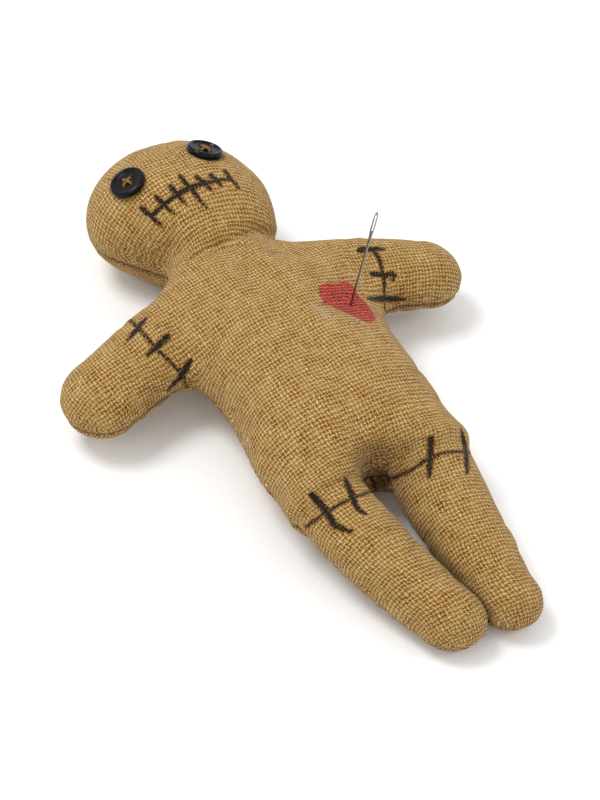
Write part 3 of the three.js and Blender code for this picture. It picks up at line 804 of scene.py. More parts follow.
class Marks:
    """The ink and paint on the skin, and the shade painted into its hollows and along its seam's groove, as places in
    millimetres.
    """

    def __init__(self, mesh, ring):
        tree = skin_tree(mesh)
        self.ring = ring
        self.lines = []
        for pixels, width in INK_LINES.values():
            self.lines.append((line_on_skin(tree, pixels), width, 0.0))
        for name, strokes in INK_STROKES.items():
            fade = MOUTH_FADE if name == "mouth" else STROKE_FADE
            self.lines += [(line_on_skin(tree, pixels), INK_STROKE_WIDTH, fade) for pixels in strokes]
        self.heart_middle, self.heart_normal = on_skin(tree, HEART_MIDDLE)
        self.heart = spots_on_skin(tree, HEART_OUTLINE)
        self.smears = spots_on_skin(tree, PAINT_SMEARS)
        hollows = [hollow for hollow in HOLLOWS.values() if hollow[3]]
        self.creases = [(on_skin(tree, pixel)[0], reach, dark) for pixel, _, reach, dark in hollows]

    def ink(self, places):
        """Millimetres outside the nearest stroke, below 0 in it, and how dry the pen is there."""
        gap, dry = np.full(len(places), INK_REACH), np.zeros(len(places))
        for (line, share), width, fade in self.lines:
            far, number = nearest(places, line, INK_REACH)
            at = share[number]
            swell = 1 - STROKE_SWELL + STROKE_SWELL * np.sin(np.pi * at) ** 0.5
            half = width / 2 * swell * (1 - STROKE_TAPER * at**3)
            outside = np.where(far < INK_REACH, far - half, INK_REACH)
            closer = outside < gap
            gap[closer] = outside[closer]
            dry[closer] = fade * (DRY_START + (1 - DRY_START) * at[closer])
        return gap, dry

    def paint(self, places, normals):
        """Millimetres inside the heart, below 0 outside it."""
        across = np.cross((0, 0, 1), self.heart_normal)
        across /= np.linalg.norm(across)
        plane = np.stack([across, np.cross(self.heart_normal, across)], 1)
        inside = np.full(len(places), -INK_REACH)
        near = np.flatnonzero(lengths(places - self.heart_middle) < HEART_REACH)
        near = near[normals[near] @ self.heart_normal > 0]
        inside[near] = polygon_distance(places[near] @ plane, self.heart @ plane)
        return np.maximum(inside, -INK_REACH)

    def painted_shade(self, places):
        """How dark the shade painted into the colour is, in a hollow or in the seam's groove."""
        shade = np.zeros(len(places))
        for middle, reach, dark in self.creases:
            shade = np.maximum(shade, dark * bell(lengths(places - middle), reach))
        # Painted shade along the seam's groove, darker in some patches than in others.
        far, _ = nearest(places, self.ring, 3 * SEAM_SHADE_WIDTH)
        for k in np.flatnonzero(far < 3 * SEAM_SHADE_WIDTH):
            patch = noise.noise(Vector(places[k] / LUMP_SIZE * SEAM_SHADE_PATCHES))
            shade[k] = max(shade[k], (SEAM_SHADE + SEAM_SHADE_CHANGE * patch) * bell(far[k], SEAM_SHADE_WIDTH))
        return shade

    def smear(self, places):
        far, _ = nearest(places, self.smears, 4 * SMEAR_SIZE)
        return bell(far, SMEAR_SIZE) * (far < 4 * SMEAR_SIZE)


def refine_marks(mesh, marks):
    """Smaller faces where ink and paint have their edges."""
    places, normals = places_of(mesh), normals_of(mesh)
    close = (marks.ink(places)[0] < MARK_EDGE) | (np.abs(marks.paint(places, normals)) < MARK_EDGE)
    fine = bmesh.new()
    fine.from_mesh(mesh)
    fine.verts.ensure_lookup_table()
    edges = {edge for k in np.flatnonzero(close) for face in fine.verts[k].link_faces for edge in face.edges}
    edges = sorted(edges, key=lambda edge: edge.index)
    bmesh.ops.subdivide_edges(fine, edges=edges, cuts=1, use_grid_fill=True, use_only_quads=False)
    fine.to_mesh(mesh)
    fine.free()
    mesh.update()


def mark_skin(mesh, marks):
    places, normals = places_of(mesh), normals_of(mesh)
    gap, dry = marks.ink(places)
    found = {"ink": gap, "ink_dry": dry, "heart": marks.paint(places, normals)}
    found |= {"smear": marks.smear(places), "painted_shade": marks.painted_shade(places)}
    for name, values in found.items():
        new_attribute(mesh, name, values)


# Pieces of the skin, one for each body

BODIES = ["torso", "head", "arm_left", "arm_right", "leg_left", "leg_right"]
NECK_SPLIT = -4.0
LEG_SPLIT = 4.0
ARM_SPLIT = -9.0
ARM_SIDES = 21.0


def body_numbers(x, y, own_leg):
    """Which of BODIES each place belongs to."""
    number = np.zeros(len(x), int)
    number[head_place(x, y)[0] > NECK_SPLIT] = BODIES.index("head")
    for body, side in (("arm_left", 1), ("arm_right", -1)):
        along, across = arm_place(x, y, side)
        number[(along > ARM_SPLIT) & (np.abs(across) < ARM_SIDES) & (number == 0)] = BODIES.index(body)
    legs = y < HIP_LINE + LEG_SPLIT
    number[legs & (own_leg >= 0)] = BODIES.index("leg_left")
    number[legs & (own_leg < 0)] = BODIES.index("leg_right")
    return number


def follow(piece, body):
    if body == "torso":
        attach(piece, body)
    else:
        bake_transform(piece)


def split_skin(mesh):
    """One piece of skin for each body, shaded as the whole skin is."""
    for axis, values in zip("xyz", normals_of(mesh).T):
        new_attribute(mesh, f"whole_{axis}", values)
    centre = fetched(mesh.polygons, "center", 3) / MM
    corners = fetched(mesh.loops, "vertex_index", kind=np.int32)
    starts = fetched(mesh.polygons, "loop_start", kind=np.int32)
    own_leg = np.add.reduceat(read_attribute(mesh, "own_leg")[corners], starts)
    number = body_numbers(centre[:, 0], centre[:, 1], own_leg)
    pieces = {}
    for value, body in enumerate(BODIES):
        own = without_faces(mesh, f"{body}_cloth", lambda face: number[face.index] != value)
        whole = np.stack([read_attribute(own, f"whole_{axis}") for axis in "xyz"], 1)
        for name in ("whole_x", "whole_y", "whole_z", "seam", "own_leg"):
            own.attributes.remove(own.attributes[name])
        own.shade_smooth()
        own.normals_split_custom_set_from_vertices(whole.tolist())
        pieces[body] = shown(f"{body}_cloth", own)
    return pieces


# Nodes

def linear(colour):
    """An sRGB hex colour as linear red, green, blue and a full alpha."""
    parts = [int(colour[k:k + 2], 16) / 255 for k in (1, 3, 5)]
    return (*(p / 12.92 if p <= 0.04045 else ((p + 0.055) / 1.055) ** 2.4 for p in parts), 1.0)


def connect(tree, node, values):
    """A number or a link for each input, which are given by name or in order."""
    for name, value in (values if isinstance(values, dict) else dict(enumerate(values))).items():
        if isinstance(value, bpy.types.NodeSocket):
            tree.links.new(value, node.inputs[name])
        else:
            node.inputs[name].default_value = value


def add(tree, kind, values=(), out=0, **settings):
    """One output of a new node with its settings and inputs."""
    node = tree.nodes.new(kind)
    for name, value in settings.items():
        setattr(node, name, value)
    connect(tree, node, values)
    return node.outputs[out]


MATH = "ShaderNodeMath"
RANGE = "ShaderNodeMapRange"
NOISE = "ShaderNodeTexNoise"
MIX = "ShaderNodeMix"

# Sewing and loose fibres

STITCH_SPACING = 3.2
STITCH_LENGTH = 2.7
STITCH_THICKNESS = 0.6
STITCH_LEAN = (0.3, 0.3, 3.0)
STITCH_SEED = 3
FIBRE_LENGTH = 3.6
FIBRE_THICKNESS = 0.1
FIBRE_LEAN = (0.5, 0.5, 3.1)
FIBRE_SHARES = (0.35, 1.15)
FIBRE_BOW = {"Resolution": 4, "Start": (0, 0, -0.05), "Middle": (0.45, 0.15, 0.4), "End": (0.95, -0.05, 0.2)}
FIBRES_PER_SQUARE_METRE = 9000.0
FIBRE_CLEAR = 5.0
FIBRE_SEED = 11


def new_nodes(name, **inputs):
    """An empty Geometry Nodes tree with its inputs of each kind, its input sockets, and its output socket."""
    tree = bpy.data.node_groups.new(name, "GeometryNodeTree")
    for side in ("INPUT", "OUTPUT"):
        tree.interface.new_socket("Geometry", in_out=side, socket_type="NodeSocketGeometry")
    for kind, labels in {**inputs, "Material": ["Material"]}.items():
        for label in labels:
            tree.interface.new_socket(label, in_out="INPUT", socket_type=f"NodeSocket{kind}")
    return tree, tree.nodes.new("NodeGroupInput").outputs, tree.nodes.new("NodeGroupOutput").inputs[0]


def made_by(tree, name, mesh, values):
    """A plain piece that a tree makes of a mesh."""
    base = shown("base", mesh)
    maker = base.modifiers.new("maker", "NODES")
    maker.node_group = tree
    for item in tree.interface.items_tree:
        if item.in_out == "INPUT" and item.name in values:
            maker[item.identifier] = values[item.name]
    made = made_plain(base)
    made.name = name
    return shown(name, made)


def finish_tree(tree, given, made, out):
    made = add(tree, "GeometryNodeRealizeInstances", {"Geometry": made})
    made = add(tree, "GeometryNodeSetShadeSmooth", {"Geometry": made})
    made = add(tree, "GeometryNodeSetMaterial", {"Geometry": made, "Material": given["Material"]})
    tree.links.new(made, out)
    return tree


def strewn(tree, given, spots, shape, lean, size):
    """A shape at each spot, leaning its own way by up to an angle about each axis."""
    lean = {0: tuple(-angle for angle in lean), 1: lean, "Seed": given["Seed"]}
    lean = add(tree, "FunctionNodeRandomValue", lean, data_type="FLOAT_VECTOR")
    turn = {"Rotation": spots["Rotation"], "Rotate By": lean}
    turn = add(tree, "FunctionNodeRotateRotation", turn, rotation_space="LOCAL")
    row = {"Points": spots["Points"], "Instance": shape, "Rotation": turn, "Scale": size}
    return add(tree, "GeometryNodeInstanceOnPoints", row)


def stitch_tree():
    """Stitches: short grains of thread in a row along a path, each leaning a little its own way."""
    tree, given, out = new_nodes("seam_stitches", Float=["Spacing", "Length", "Thickness"], Int=["Seed"])
    path = add(tree, "GeometryNodeMeshToCurve", {"Mesh": given["Geometry"]})
    spots = {"Curve": path, "Length": given["Spacing"]}
    spots = add(tree, "GeometryNodeCurveToPoints", spots, mode="LENGTH").node.outputs
    grain = add(tree, "GeometryNodeMeshUVSphere", {"Segments": 8, "Rings": 6, "Radius": 0.5})
    size = add(tree, "ShaderNodeCombineXYZ", (given["Thickness"], given["Thickness"], given["Length"]))
    return finish_tree(tree, given, strewn(tree, given, spots, grain, STITCH_LEAN, size), out)


def fibre_tree():
    """Loose fibres: short bowed hairs that stand off a surface at random."""
    tree, given, out = new_nodes("loose_fibres", Float=["Density", "Length", "Thickness"], Int=["Seed"])
    spots = {"Mesh": given["Geometry"], "Density": given["Density"], "Seed": given["Seed"]}
    spots = add(tree, "GeometryNodeDistributePointsOnFaces", spots).node.outputs
    bow = add(tree, "GeometryNodeCurveQuadraticBezier", FIBRE_BOW)
    slim = add(tree, MATH, (given["Thickness"], given["Length"]), operation="DIVIDE")
    slim = add(tree, "ShaderNodeCombineXYZ", (slim, slim, 1.0))
    ring = add(tree, "GeometryNodeCurvePrimitiveCircle", {"Resolution": 3, "Radius": 0.5})
    ring = add(tree, "GeometryNodeTransform", {"Geometry": ring, "Scale": slim})
    hair = add(tree, "GeometryNodeCurveToMesh", {"Curve": bow, "Profile Curve": ring})
    share = {2: FIBRE_SHARES[0], 3: FIBRE_SHARES[1], "Seed": given["Seed"]}
    share = add(tree, "FunctionNodeRandomValue", share, out=1)
    size = add(tree, MATH, (share, given["Length"]), operation="MULTIPLY")
    return finish_tree(tree, given, strewn(tree, given, spots, hair, FIBRE_LEAN, size), out)


def thread_tree():
    """Plied thread: strands that twist round each other along each path."""
    tree, given, out = new_nodes("plied_thread", Int=["Strands"], Float=["Twist", "Ply", "Thickness"])
    path = add(tree, "GeometryNodeMeshToCurve", {"Mesh": given["Geometry"]})
    plies = {"Geometry": path, "Amount": given["Strands"]}
    plies = add(tree, "GeometryNodeDuplicateElements", plies, domain="SPLINE").node.outputs
    start = add(tree, MATH, (plies["Duplicate Index"], given["Strands"]), operation="DIVIDE")
    run = add(tree, "GeometryNodeSplineParameter", out="Length")
    turns = add(tree, MATH, (run, given["Twist"]), operation="DIVIDE")
    turns = add(tree, MATH, (turns, start), operation="ADD")
    angle = add(tree, MATH, (turns, 2 * math.pi), operation="MULTIPLY")
    aside, along = add(tree, "GeometryNodeInputNormal"), add(tree, "GeometryNodeInputTangent")
    turn = {"Vector": aside, "Axis": along, "Angle": angle}
    aside = add(tree, "ShaderNodeVectorRotate", turn, rotation_type="AXIS_ANGLE")
    aside = add(tree, "ShaderNodeVectorMath", {0: aside, "Scale": given["Ply"]}, operation="SCALE")
    moved = add(tree, "GeometryNodeSetPosition", {"Geometry": plies["Geometry"], "Offset": aside})
    half = add(tree, MATH, (given["Thickness"], 0.5), operation="MULTIPLY")
    ring = add(tree, "GeometryNodeCurvePrimitiveCircle", {"Resolution": 6, "Radius": half})
    strands = {"Curve": moved, "Profile Curve": ring, "Fill Caps": True}
    return finish_tree(tree, given, add(tree, "GeometryNodeCurveToMesh", strands), out)


def in_metres(**sizes):
    return {name: size * MM for name, size in sizes.items()}


def sew_seam(ring, own_leg, material):
    """Stitches in the seam's groove, for each body."""
    tree = stitch_tree()
    number = body_numbers(ring[:, 0], ring[:, 1], own_leg)
    after = np.roll(np.arange(len(ring)), -1)
    sizes = in_metres(Spacing=STITCH_SPACING, Length=STITCH_LENGTH, Thickness=STITCH_THICKNESS)
    for value, body in enumerate(BODIES):
        own = np.flatnonzero((number == value) & (number[after] == value))
        path = new_mesh("seam_path", ring * MM, np.stack([own, after[own]], 1))
        values = {**sizes, "Seed": STITCH_SEED + value, "Material": material}
        piece = made_by(tree, f"{body}_seam_stitches", path, values)
        follow(piece, body)
        nodes = frame["record"]["behaviour"]["bodies"][body]
        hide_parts(*[node for node in nodes if node.endswith("seam_thread")])


def raise_fibres(cloths, material):
    tree = fibre_tree()
    sizes = in_metres(Length=FIBRE_LENGTH, Thickness=FIBRE_THICKNESS)
    for value, (body, cloth) in enumerate(cloths.items()):
        upper = without_faces(cloth.data, "upper_cloth", lambda face: face.calc_center_median().z < FIBRE_CLEAR * MM)
        values = {**sizes, "Density": FIBRES_PER_SQUARE_METRE, "Seed": FIBRE_SEED + value, "Material": material}
        piece = made_by(tree, f"{body}_loose_fibres", upper, values)
        follow(piece, body)


# Button eyes: the profile's radius and height, the holes, and the thread that goes through them

BUTTON_PROFILE = [
    (0, 0), (6.8, 0), (7.3, 0.25), (7.5, 0.7), (7.5, 1.7), (7.4, 2.2), (7.05, 2.6), (6.5, 2.8), (6.1, 2.74),
    (5.8, 2.55), (5.6, 2.2), (5.35, 2.0), (5.0, 1.93), (4.4, 1.9), (2.0, 1.9), (0, 1.9),
]
BUTTON_STEPS = 72
WELD = 0.001
HOLE_RADIUS = 1.0
HOLE_SIDES = 28
HOLE_HEIGHT = 1.4
HOLE_LENGTH = 6.0
HOLES_OUT = 2.55
HOLE_TURN = math.radians(22)
HOLE_BEVEL = 0.14
BEVEL_ANGLE = math.radians(50)
THREAD_STRANDS = 3
THREAD_PLY = 0.17
THREAD_STRAND = 0.34
THREAD_TWIST = 2.2
THREAD_SPREAD = 0.34
THREAD_LIFT = 0.5
# Half of a loop: how far along it, how far out from the button's middle and how high
HALF_LOOP = [(0.0, -HOLES_OUT, -0.9), (0.2, -HOLES_OUT, 1.3), (0.32, -2.0, 2.15), (0.5, 0.0, 2.3)]
LOOP_POINTS = 36
FUZZ_PER_SQUARE_METRE = 6e5
FUZZ_LENGTH = 1.0
FUZZ_THICKNESS = 0.07
FUZZ_SEED = 5


def placed(origin, axis, turn):
    """From millimetres in a frame that stands on an axis to metres in the scene."""
    upwards = Vector(axis)
    across = (Vector((1, 0, 0)) - upwards * upwards.x).normalized()
    frame_axes = Matrix((across, upwards.cross(across), upwards)).transposed().to_4x4()
    return Matrix.Translation(Vector(origin) * MM) @ frame_axes @ Matrix.Rotation(turn, 4, "Z") @ Matrix.Scale(MM, 4)


def cut_out(name, body, tool):
    """One bmesh cut out of another, as a mesh with softened edges."""
    for part in (body, tool):
        bmesh.ops.recalc_face_normals(part, faces=part.faces)
    piece, cutter = shown(name, as_mesh(f"{name}_body", body)), shown("cutter", as_mesh(f"{name}_tool", tool))
    cut = piece.modifiers.new("cut", "BOOLEAN")
    cut.object = cutter
    cut.solver = "EXACT"
    soft = piece.modifiers.new("soft", "BEVEL")
    soft.width = HOLE_BEVEL
    soft.segments = 2
    soft.limit_method = "ANGLE"
    soft.angle_limit = BEVEL_ANGLE
    mesh = made_plain(piece)
    bpy.data.objects.remove(cutter)
    mesh.shade_smooth()
    return mesh


def button_mesh():
    """A turned disc with a rounded rim and a dished middle, and four holes."""
    disc = bmesh.new()
    corners = [disc.verts.new((radius, 0, height)) for radius, height in BUTTON_PROFILE]
    edges = [disc.edges.new(pair) for pair in zip(corners, corners[1:])]
    whole = {"cent": (0, 0, 0), "axis": (0, 0, 1), "angle": 2 * math.pi}
    bmesh.ops.spin(disc, geom=corners + edges, steps=BUTTON_STEPS, **whole)
    bmesh.ops.remove_doubles(disc, verts=disc.verts, dist=WELD)
    holes = bmesh.new()
    bar = {"segments": HOLE_SIDES, "radius1": HOLE_RADIUS, "radius2": HOLE_RADIUS, "depth": HOLE_LENGTH}
    for quarter in range(4):
        angle = quarter * math.pi / 2
        at = Matrix.Translation((HOLES_OUT * math.cos(angle), HOLES_OUT * math.sin(angle), HOLE_HEIGHT))
        bmesh.ops.create_cone(holes, cap_ends=True, matrix=at, **bar)
    return cut_out("button", disc, holes)


def eye_loops():
    """Loops of thread through opposite holes: three side by side, and three across them."""
    points, pairs = [], []
    for arm in range(2):
        knots = np.array(HALF_LOOP + [(1 - t, -r, z) for t, r, z in HALF_LOOP[-2::-1]])
        knots[:, 2] += THREAD_LIFT * arm * np.sin(np.pi * knots[:, 0]) ** 4
        reach, height = run_through(knots, np.linspace(0, 1, LOOP_POINTS))
        for place in (-1, 0, 1):
            aside = np.full(LOOP_POINTS, place * THREAD_SPREAD)
            loop = np.stack([(reach, aside, height), (-aside, reach, height)][arm], 1)
            pairs += [(len(points) + k, len(points) + k + 1) for k in range(LOOP_POINTS - 1)]
            points += loop.tolist()
    return new_mesh("eye_loops", points, pairs)


def sew_eyes(plastic, thread):
    tree, fuzz_tree = thread_tree(), fibre_tree()
    plies = in_metres(Twist=THREAD_TWIST, Ply=THREAD_PLY, Thickness=THREAD_STRAND)
    plies |= {"Strands": THREAD_STRANDS, "Material": thread}
    hairs = in_metres(Length=FUZZ_LENGTH, Thickness=FUZZ_THICKNESS)
    hairs |= {"Density": FUZZ_PER_SQUARE_METRE, "Seed": FUZZ_SEED, "Material": thread}
    for name in ("left", "right"):
        place = placed(*eye_seat(name), HOLE_TURN)
        mesh, loops = button_mesh(), eye_loops()
        mesh.transform(place)
        loops.transform(place)
        mesh.materials.append(plastic)
        button = shown(f"{name}_button", mesh)
        sewn = made_by(tree, f"{name}_button_loops", loops, plies)
        fuzz = made_by(fuzz_tree, f"{name}_button_fuzz", sewn.data, hairs)
        for piece, slot in ((button, "black_plastic"), (sewn, "eye_thread"), (fuzz, "eye_thread")):
            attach(piece, f"eye_{name}")
        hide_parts(f"button_{name}")
        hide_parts(f"button_{name}_thread")


# Needle: its height above the point, half its width and half its thickness, and its eye's ends and half its width

NEEDLE_SECTIONS = [
    (0.0, 0.03, 0.03), (3.0, 0.26, 0.26), (7.0, 0.44, 0.44), (12.0, 0.5, 0.5), (50.0, 0.5, 0.5), (53.5, 0.55, 0.48),
    (55.5, 0.74, 0.43), (58.0, 0.82, 0.41), (62.0, 0.84, 0.4), (64.2, 0.78, 0.4), (65.3, 0.56, 0.34), (65.9, 0.2, 0.16),
]
NEEDLE_SIDES = 24
NEEDLE_SLOT = (56.2, 64.6, 0.3)
SLOT_STEPS = 8
NEEDLE_TURN = math.radians(-30)


def lofted(rings):
    """A closed bmesh through rings of points, all with the same number of them."""
    part = bmesh.new()
    rings = [[part.verts.new(point) for point in ring] for ring in rings]
    for low, high in zip(rings, rings[1:]):
        for k in range(len(low)):
            onward = (k + 1) % len(low)
            part.faces.new((low[k], low[onward], high[onward], high[k]))
    part.faces.new(rings[0][::-1])
    part.faces.new(rings[-1])
    return part


def needle_mesh():
    """A drawn shaft with a long point, flattened and pierced at its upper end."""
    turns = [2 * math.pi * k / NEEDLE_SIDES for k in range(NEEDLE_SIDES)]
    shaft = lofted([[(w * math.cos(a), t * math.sin(a), z) for a in turns] for z, w, t in NEEDLE_SECTIONS])
    low, high, half = NEEDLE_SLOT
    arc = [math.pi * k / SLOT_STEPS for k in range(SLOT_STEPS + 1)]
    outline = [(half * math.cos(a), high - half + half * math.sin(a)) for a in arc]
    outline += [(-half * math.cos(a), low + half - half * math.sin(a)) for a in arc]
    slot = lofted([[(x, y, z) for x, z in outline] for y in (-1, 1)])
    return cut_out("needle", shaft, slot)


def stand_needle(steel):
    point, axis = needle_line()
    mesh = needle_mesh()
    mesh.transform(placed(point, axis, NEEDLE_TURN))
    mesh.materials.append(steel)
    piece = shown("chest_needle", mesh)
    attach(piece, "needle")
    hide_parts("needle")


# Materials. Sizes are in millimetres. On the cloth's flat cut, a weave drift is its size, its detail and its reach

WARP_PITCH = 1.38
WEFT_PITCH = 1.9
# The weft lies closer in the legs and arms: by what share, and where on the flat cut that starts
LEG_WEFT_CLOSER = 0.28
LEG_WEFT_START = -58.0
ARM_WEFT_CLOSER = 0.2
ARM_WEFT_START = (44.0, 62.0)
ARM_WEFT_MIDDLE = 26.0
WEAVE_DRIFTS = ((16.667, 2.0, 3.0), (2.5, 3.0, 1.3))
# How many slubs and fibres come to a crossing of yarns, and how many fibres lie side by side in a yarn
SLUBS_PER_CROSSING = 0.3
FIBRES_PER_CROSSING = 0.8
FIBRES_ACROSS = 5.0
FIBRE_SHARE = 1.2
# How far apart the yarns' slubs are picked from the noise, and from which layers of it slubs and fibres come
YARNS_APART = 7.31
SLUB_LAYER = 20.0
FIBRE_LAYER = 40.0
SLUB_RANGE = (0.3, 0.7)
YARN_HALVES = (0.22, 0.48)
YARN_WAVE = 0.9
YARN_FLOOR = -2.0
# For warp and weft, where the painted highlight along a yarn's crest starts across it and along it
CREST_EDGES = (0.76, 0.84)
CREST_STARTS = (-0.3, -0.9)
CREST_TOP = 0.7
# A crest's painted highlight is stronger on a thin yarn: from a thin to a thick slub, and the strengths there
CREST_STRENGTHS = (0.35, 0.65, 1.4, 0.6)
# The weave's height from the gaps to the crests, and where the painted shade in the gaps starts and ends
HEIGHT_RANGE = (-0.7, 1.8)
PAINTED_GAP_SHADE_RANGE = (0.5, 0.1)
PATCH_SIZE = 8.333
BLOT_SIZE = 1.25
BURLAP_TONES = [(0.0, "#572a07"), (0.25, "#845317"), (0.5, "#97743a"), (0.75, "#ab925d"), (1.0, "#cfbd93")]
PAINT_TONES = [(0.1, "#4c0606"), (0.4, "#861712"), (0.6, "#a02a20"), (0.8, "#b84c3e"), (1.0, "#cd7c6c")]
# How much patches, each yarn's own tone, height as painted shading, the painted shade in the gaps and the painted
# highlight on the crests change the tone, and blots, height and a dry pen the marks
TONE_LEVEL = -0.27
TONE_WEIGHTS = (0.3, 0.4, 0.2, -0.22, 0.44)
INK_WEIGHTS = (1.6, -1.6, 1.0)
INK_RANGE = (0.35, -0.35, 0.0, 0.97)
PAINT_WEIGHTS = (2.2, 0.5)
PAINT_RANGE = (1.0, 1.7, 0.0, 0.96)
SMEAR_COLOUR = "#b09880"
INK_COLOUR = "#0f1013"
PAINTED_SHADE_COLOUR = "#3d2009"
WEAVE_DEPTH = 0.5
# Grain of the plain materials
RUB_SIZE = 1.111
FIBRE_GRAIN = 0.3846
DRAWING_MARK = 0.6667
PAPER_GRAIN = 1.25


def new_material(name):
    material = bpy.data.materials.new(name)
    material.use_nodes = True
    tree = material.node_tree
    return material, tree, tree.nodes["Principled BSDF"]


def set_tones(node, stops):
    elements = node.color_ramp.elements
    for element, (place, colour) in ((elements[0], stops[0]), (elements[1], stops[-1])):
        element.position, element.color = place, linear(colour)
    for place, colour in stops[1:-1]:
        elements.new(place).color = linear(colour)


def burlap_material():
    """Burlap: a coarse, loose plain weave of jute yarn, uneven in thickness. Each yarn is painted pale straw where it
    rises over a crossing one and brown where it dips, as painted shading, with a painted highlight along its top and
    painted shade in the dark gaps between; ink and paint catch on the raised yarn."""
    material, tree, shader = new_material("jute_burlap")
    cloth = bent = add(tree, "ShaderNodeUVMap", out="UV", uv_map="cloth")
    for size, detail, reach in WEAVE_DRIFTS:
        drift = add(tree, NOISE, {"Vector": cloth, "Scale": 1 / size, "Detail": detail}, out="Color")
        bent = add(tree, "ShaderNodeVectorMath", (drift, (reach, reach, 0), bent), operation="MULTIPLY_ADD")
    across, up, _ = add(tree, "ShaderNodeSeparateXYZ", (bent,)).node.outputs
    below = add(tree, MATH, (up, LEG_WEFT_START), operation="SUBTRACT")
    below = add(tree, MATH, (below, 0.0), operation="MINIMUM")
    weft = add(tree, MATH, (below, LEG_WEFT_CLOSER, up), operation="MULTIPLY_ADD")
    aside = add(tree, MATH, (across,), operation="ABSOLUTE")
    aside = add(tree, RANGE, (aside, *ARM_WEFT_START, 0.0, ARM_WEFT_CLOSER), interpolation_type="SMOOTHSTEP")
    rise = add(tree, MATH, (up, ARM_WEFT_MIDDLE), operation="SUBTRACT")
    weft = add(tree, MATH, (rise, aside, weft), operation="MULTIPLY_ADD")
    lanes = [
        add(tree, MATH, (across, WARP_PITCH), operation="DIVIDE"),
        add(tree, MATH, (weft, WEFT_PITCH), operation="DIVIDE"),
    ]
    heights, shades, painted_highlights = [], [], []
    for own, first in ((0, 1), (1, -1)):
        lane, run = lanes[own], lanes[1 - own]
        index = add(tree, MATH, (lane,), operation="FLOOR")
        odd = add(tree, MATH, (index, 1.0), operation="PINGPONG")
        sign = add(tree, MATH, (odd, -2.0 * first, first), operation="MULTIPLY_ADD")
        angle = add(tree, MATH, (run, math.pi), operation="MULTIPLY")
        wave = add(tree, MATH, (angle,), operation="SINE")
        wave = add(tree, MATH, (wave, sign), operation="MULTIPLY")
        spot = add(tree, MATH, (index, YARNS_APART * first), operation="MULTIPLY")
        spot = add(tree, "ShaderNodeCombineXYZ", (spot, run, SLUB_LAYER * first))
        slub = add(tree, NOISE, {"Vector": spot, "Scale": SLUBS_PER_CROSSING, "Detail": 1.0})
        half = add(tree, RANGE, (slub, *SLUB_RANGE, *YARN_HALVES))
        off = add(tree, MATH, (lane,), operation="FRACT")
        off = add(tree, MATH, (off, 0.5), operation="SUBTRACT")
        off = add(tree, MATH, (off, half), operation="DIVIDE")
        crown = add(tree, MATH, (off, off), operation="MULTIPLY")
        crown = add(tree, MATH, (1.0, crown), operation="SUBTRACT")
        crown = add(tree, MATH, (crown, YARN_FLOOR), operation="MAXIMUM")
        heights.append(add(tree, MATH, (wave, YARN_WAVE, crown), operation="MULTIPLY_ADD"))
        fibre = add(tree, MATH, (lane, FIBRES_ACROSS), operation="MULTIPLY")
        fibre = add(tree, "ShaderNodeCombineXYZ", (fibre, run, FIBRE_LAYER * first))
        fibre = add(tree, NOISE, {"Vector": fibre, "Scale": FIBRES_PER_CROSSING, "Detail": 2.0})
        shades.append(add(tree, MATH, (fibre, FIBRE_SHARE, slub), operation="MULTIPLY_ADD"))
        # The pale crest along the top of a raised yarn is a painted highlight.
        ridge = add(tree, RANGE, (crown, CREST_EDGES[own], 1.0), interpolation_type="SMOOTHSTEP")
        raised = add(tree, RANGE, (wave, CREST_STARTS[own], CREST_TOP), interpolation_type="SMOOTHSTEP")
        painted_highlight = add(tree, MATH, (ridge, raised), operation="MULTIPLY")
        tight = add(tree, RANGE, (slub, *CREST_STRENGTHS))
        painted_highlights.append(add(tree, MATH, (painted_highlight, tight), operation="MULTIPLY"))
    height = add(tree, MATH, heights, operation="MAXIMUM")
    height = add(tree, RANGE, (height, *HEIGHT_RANGE))
    warp_up = add(tree, MATH, heights, operation="GREATER_THAN")
    shade, painted_highlight = (add(tree, MIX, {"Factor": warp_up, 2: b, 3: a}) for a, b in (shades, painted_highlights))
    # The dark gaps between the yarns are painted shade.
    gap = add(tree, RANGE, (height, *PAINTED_GAP_SHADE_RANGE), interpolation_type="SMOOTHSTEP")
    patch = add(tree, NOISE, {"Vector": cloth, "Scale": 1 / PATCH_SIZE, "Detail": 3.0})
    # The tone: patches and each yarn's own tone, with painted shading from height, painted shade in the gaps and
    # painted highlights on the crests.
    tone = TONE_LEVEL
    for part, weight in zip((patch, shade, height, gap, painted_highlight), TONE_WEIGHTS):
        tone = add(tree, MATH, (part, weight, tone), operation="MULTIPLY_ADD")
    yarn, red = (add(tree, "ShaderNodeValToRGB", (tone,)) for _ in range(2))
    set_tones(yarn.node, BURLAP_TONES)
    set_tones(red.node, PAINT_TONES)

    ink, dry, heart, smear, painted_shade = (
        add(tree, "ShaderNodeAttribute", out="Fac", attribute_name=name)
        for name in ("ink", "ink_dry", "heart", "smear", "painted_shade")
    )
    blot = add(tree, NOISE, {"Vector": cloth, "Scale": 1 / BLOT_SIZE, "Detail": 3.0})
    for part, weight in zip((blot, height, dry), INK_WEIGHTS):
        ink = add(tree, MATH, (part, weight, ink), operation="MULTIPLY_ADD")
    ink = add(tree, RANGE, (ink, *INK_RANGE), interpolation_type="SMOOTHSTEP")
    for part, weight in zip((blot, height), PAINT_WEIGHTS):
        heart = add(tree, MATH, (part, weight, heart), operation="MULTIPLY_ADD")
    heart = add(tree, RANGE, (heart, *PAINT_RANGE), interpolation_type="SMOOTHSTEP")
    smear = add(tree, MATH, (smear, height), operation="MULTIPLY")
    colour = yarn
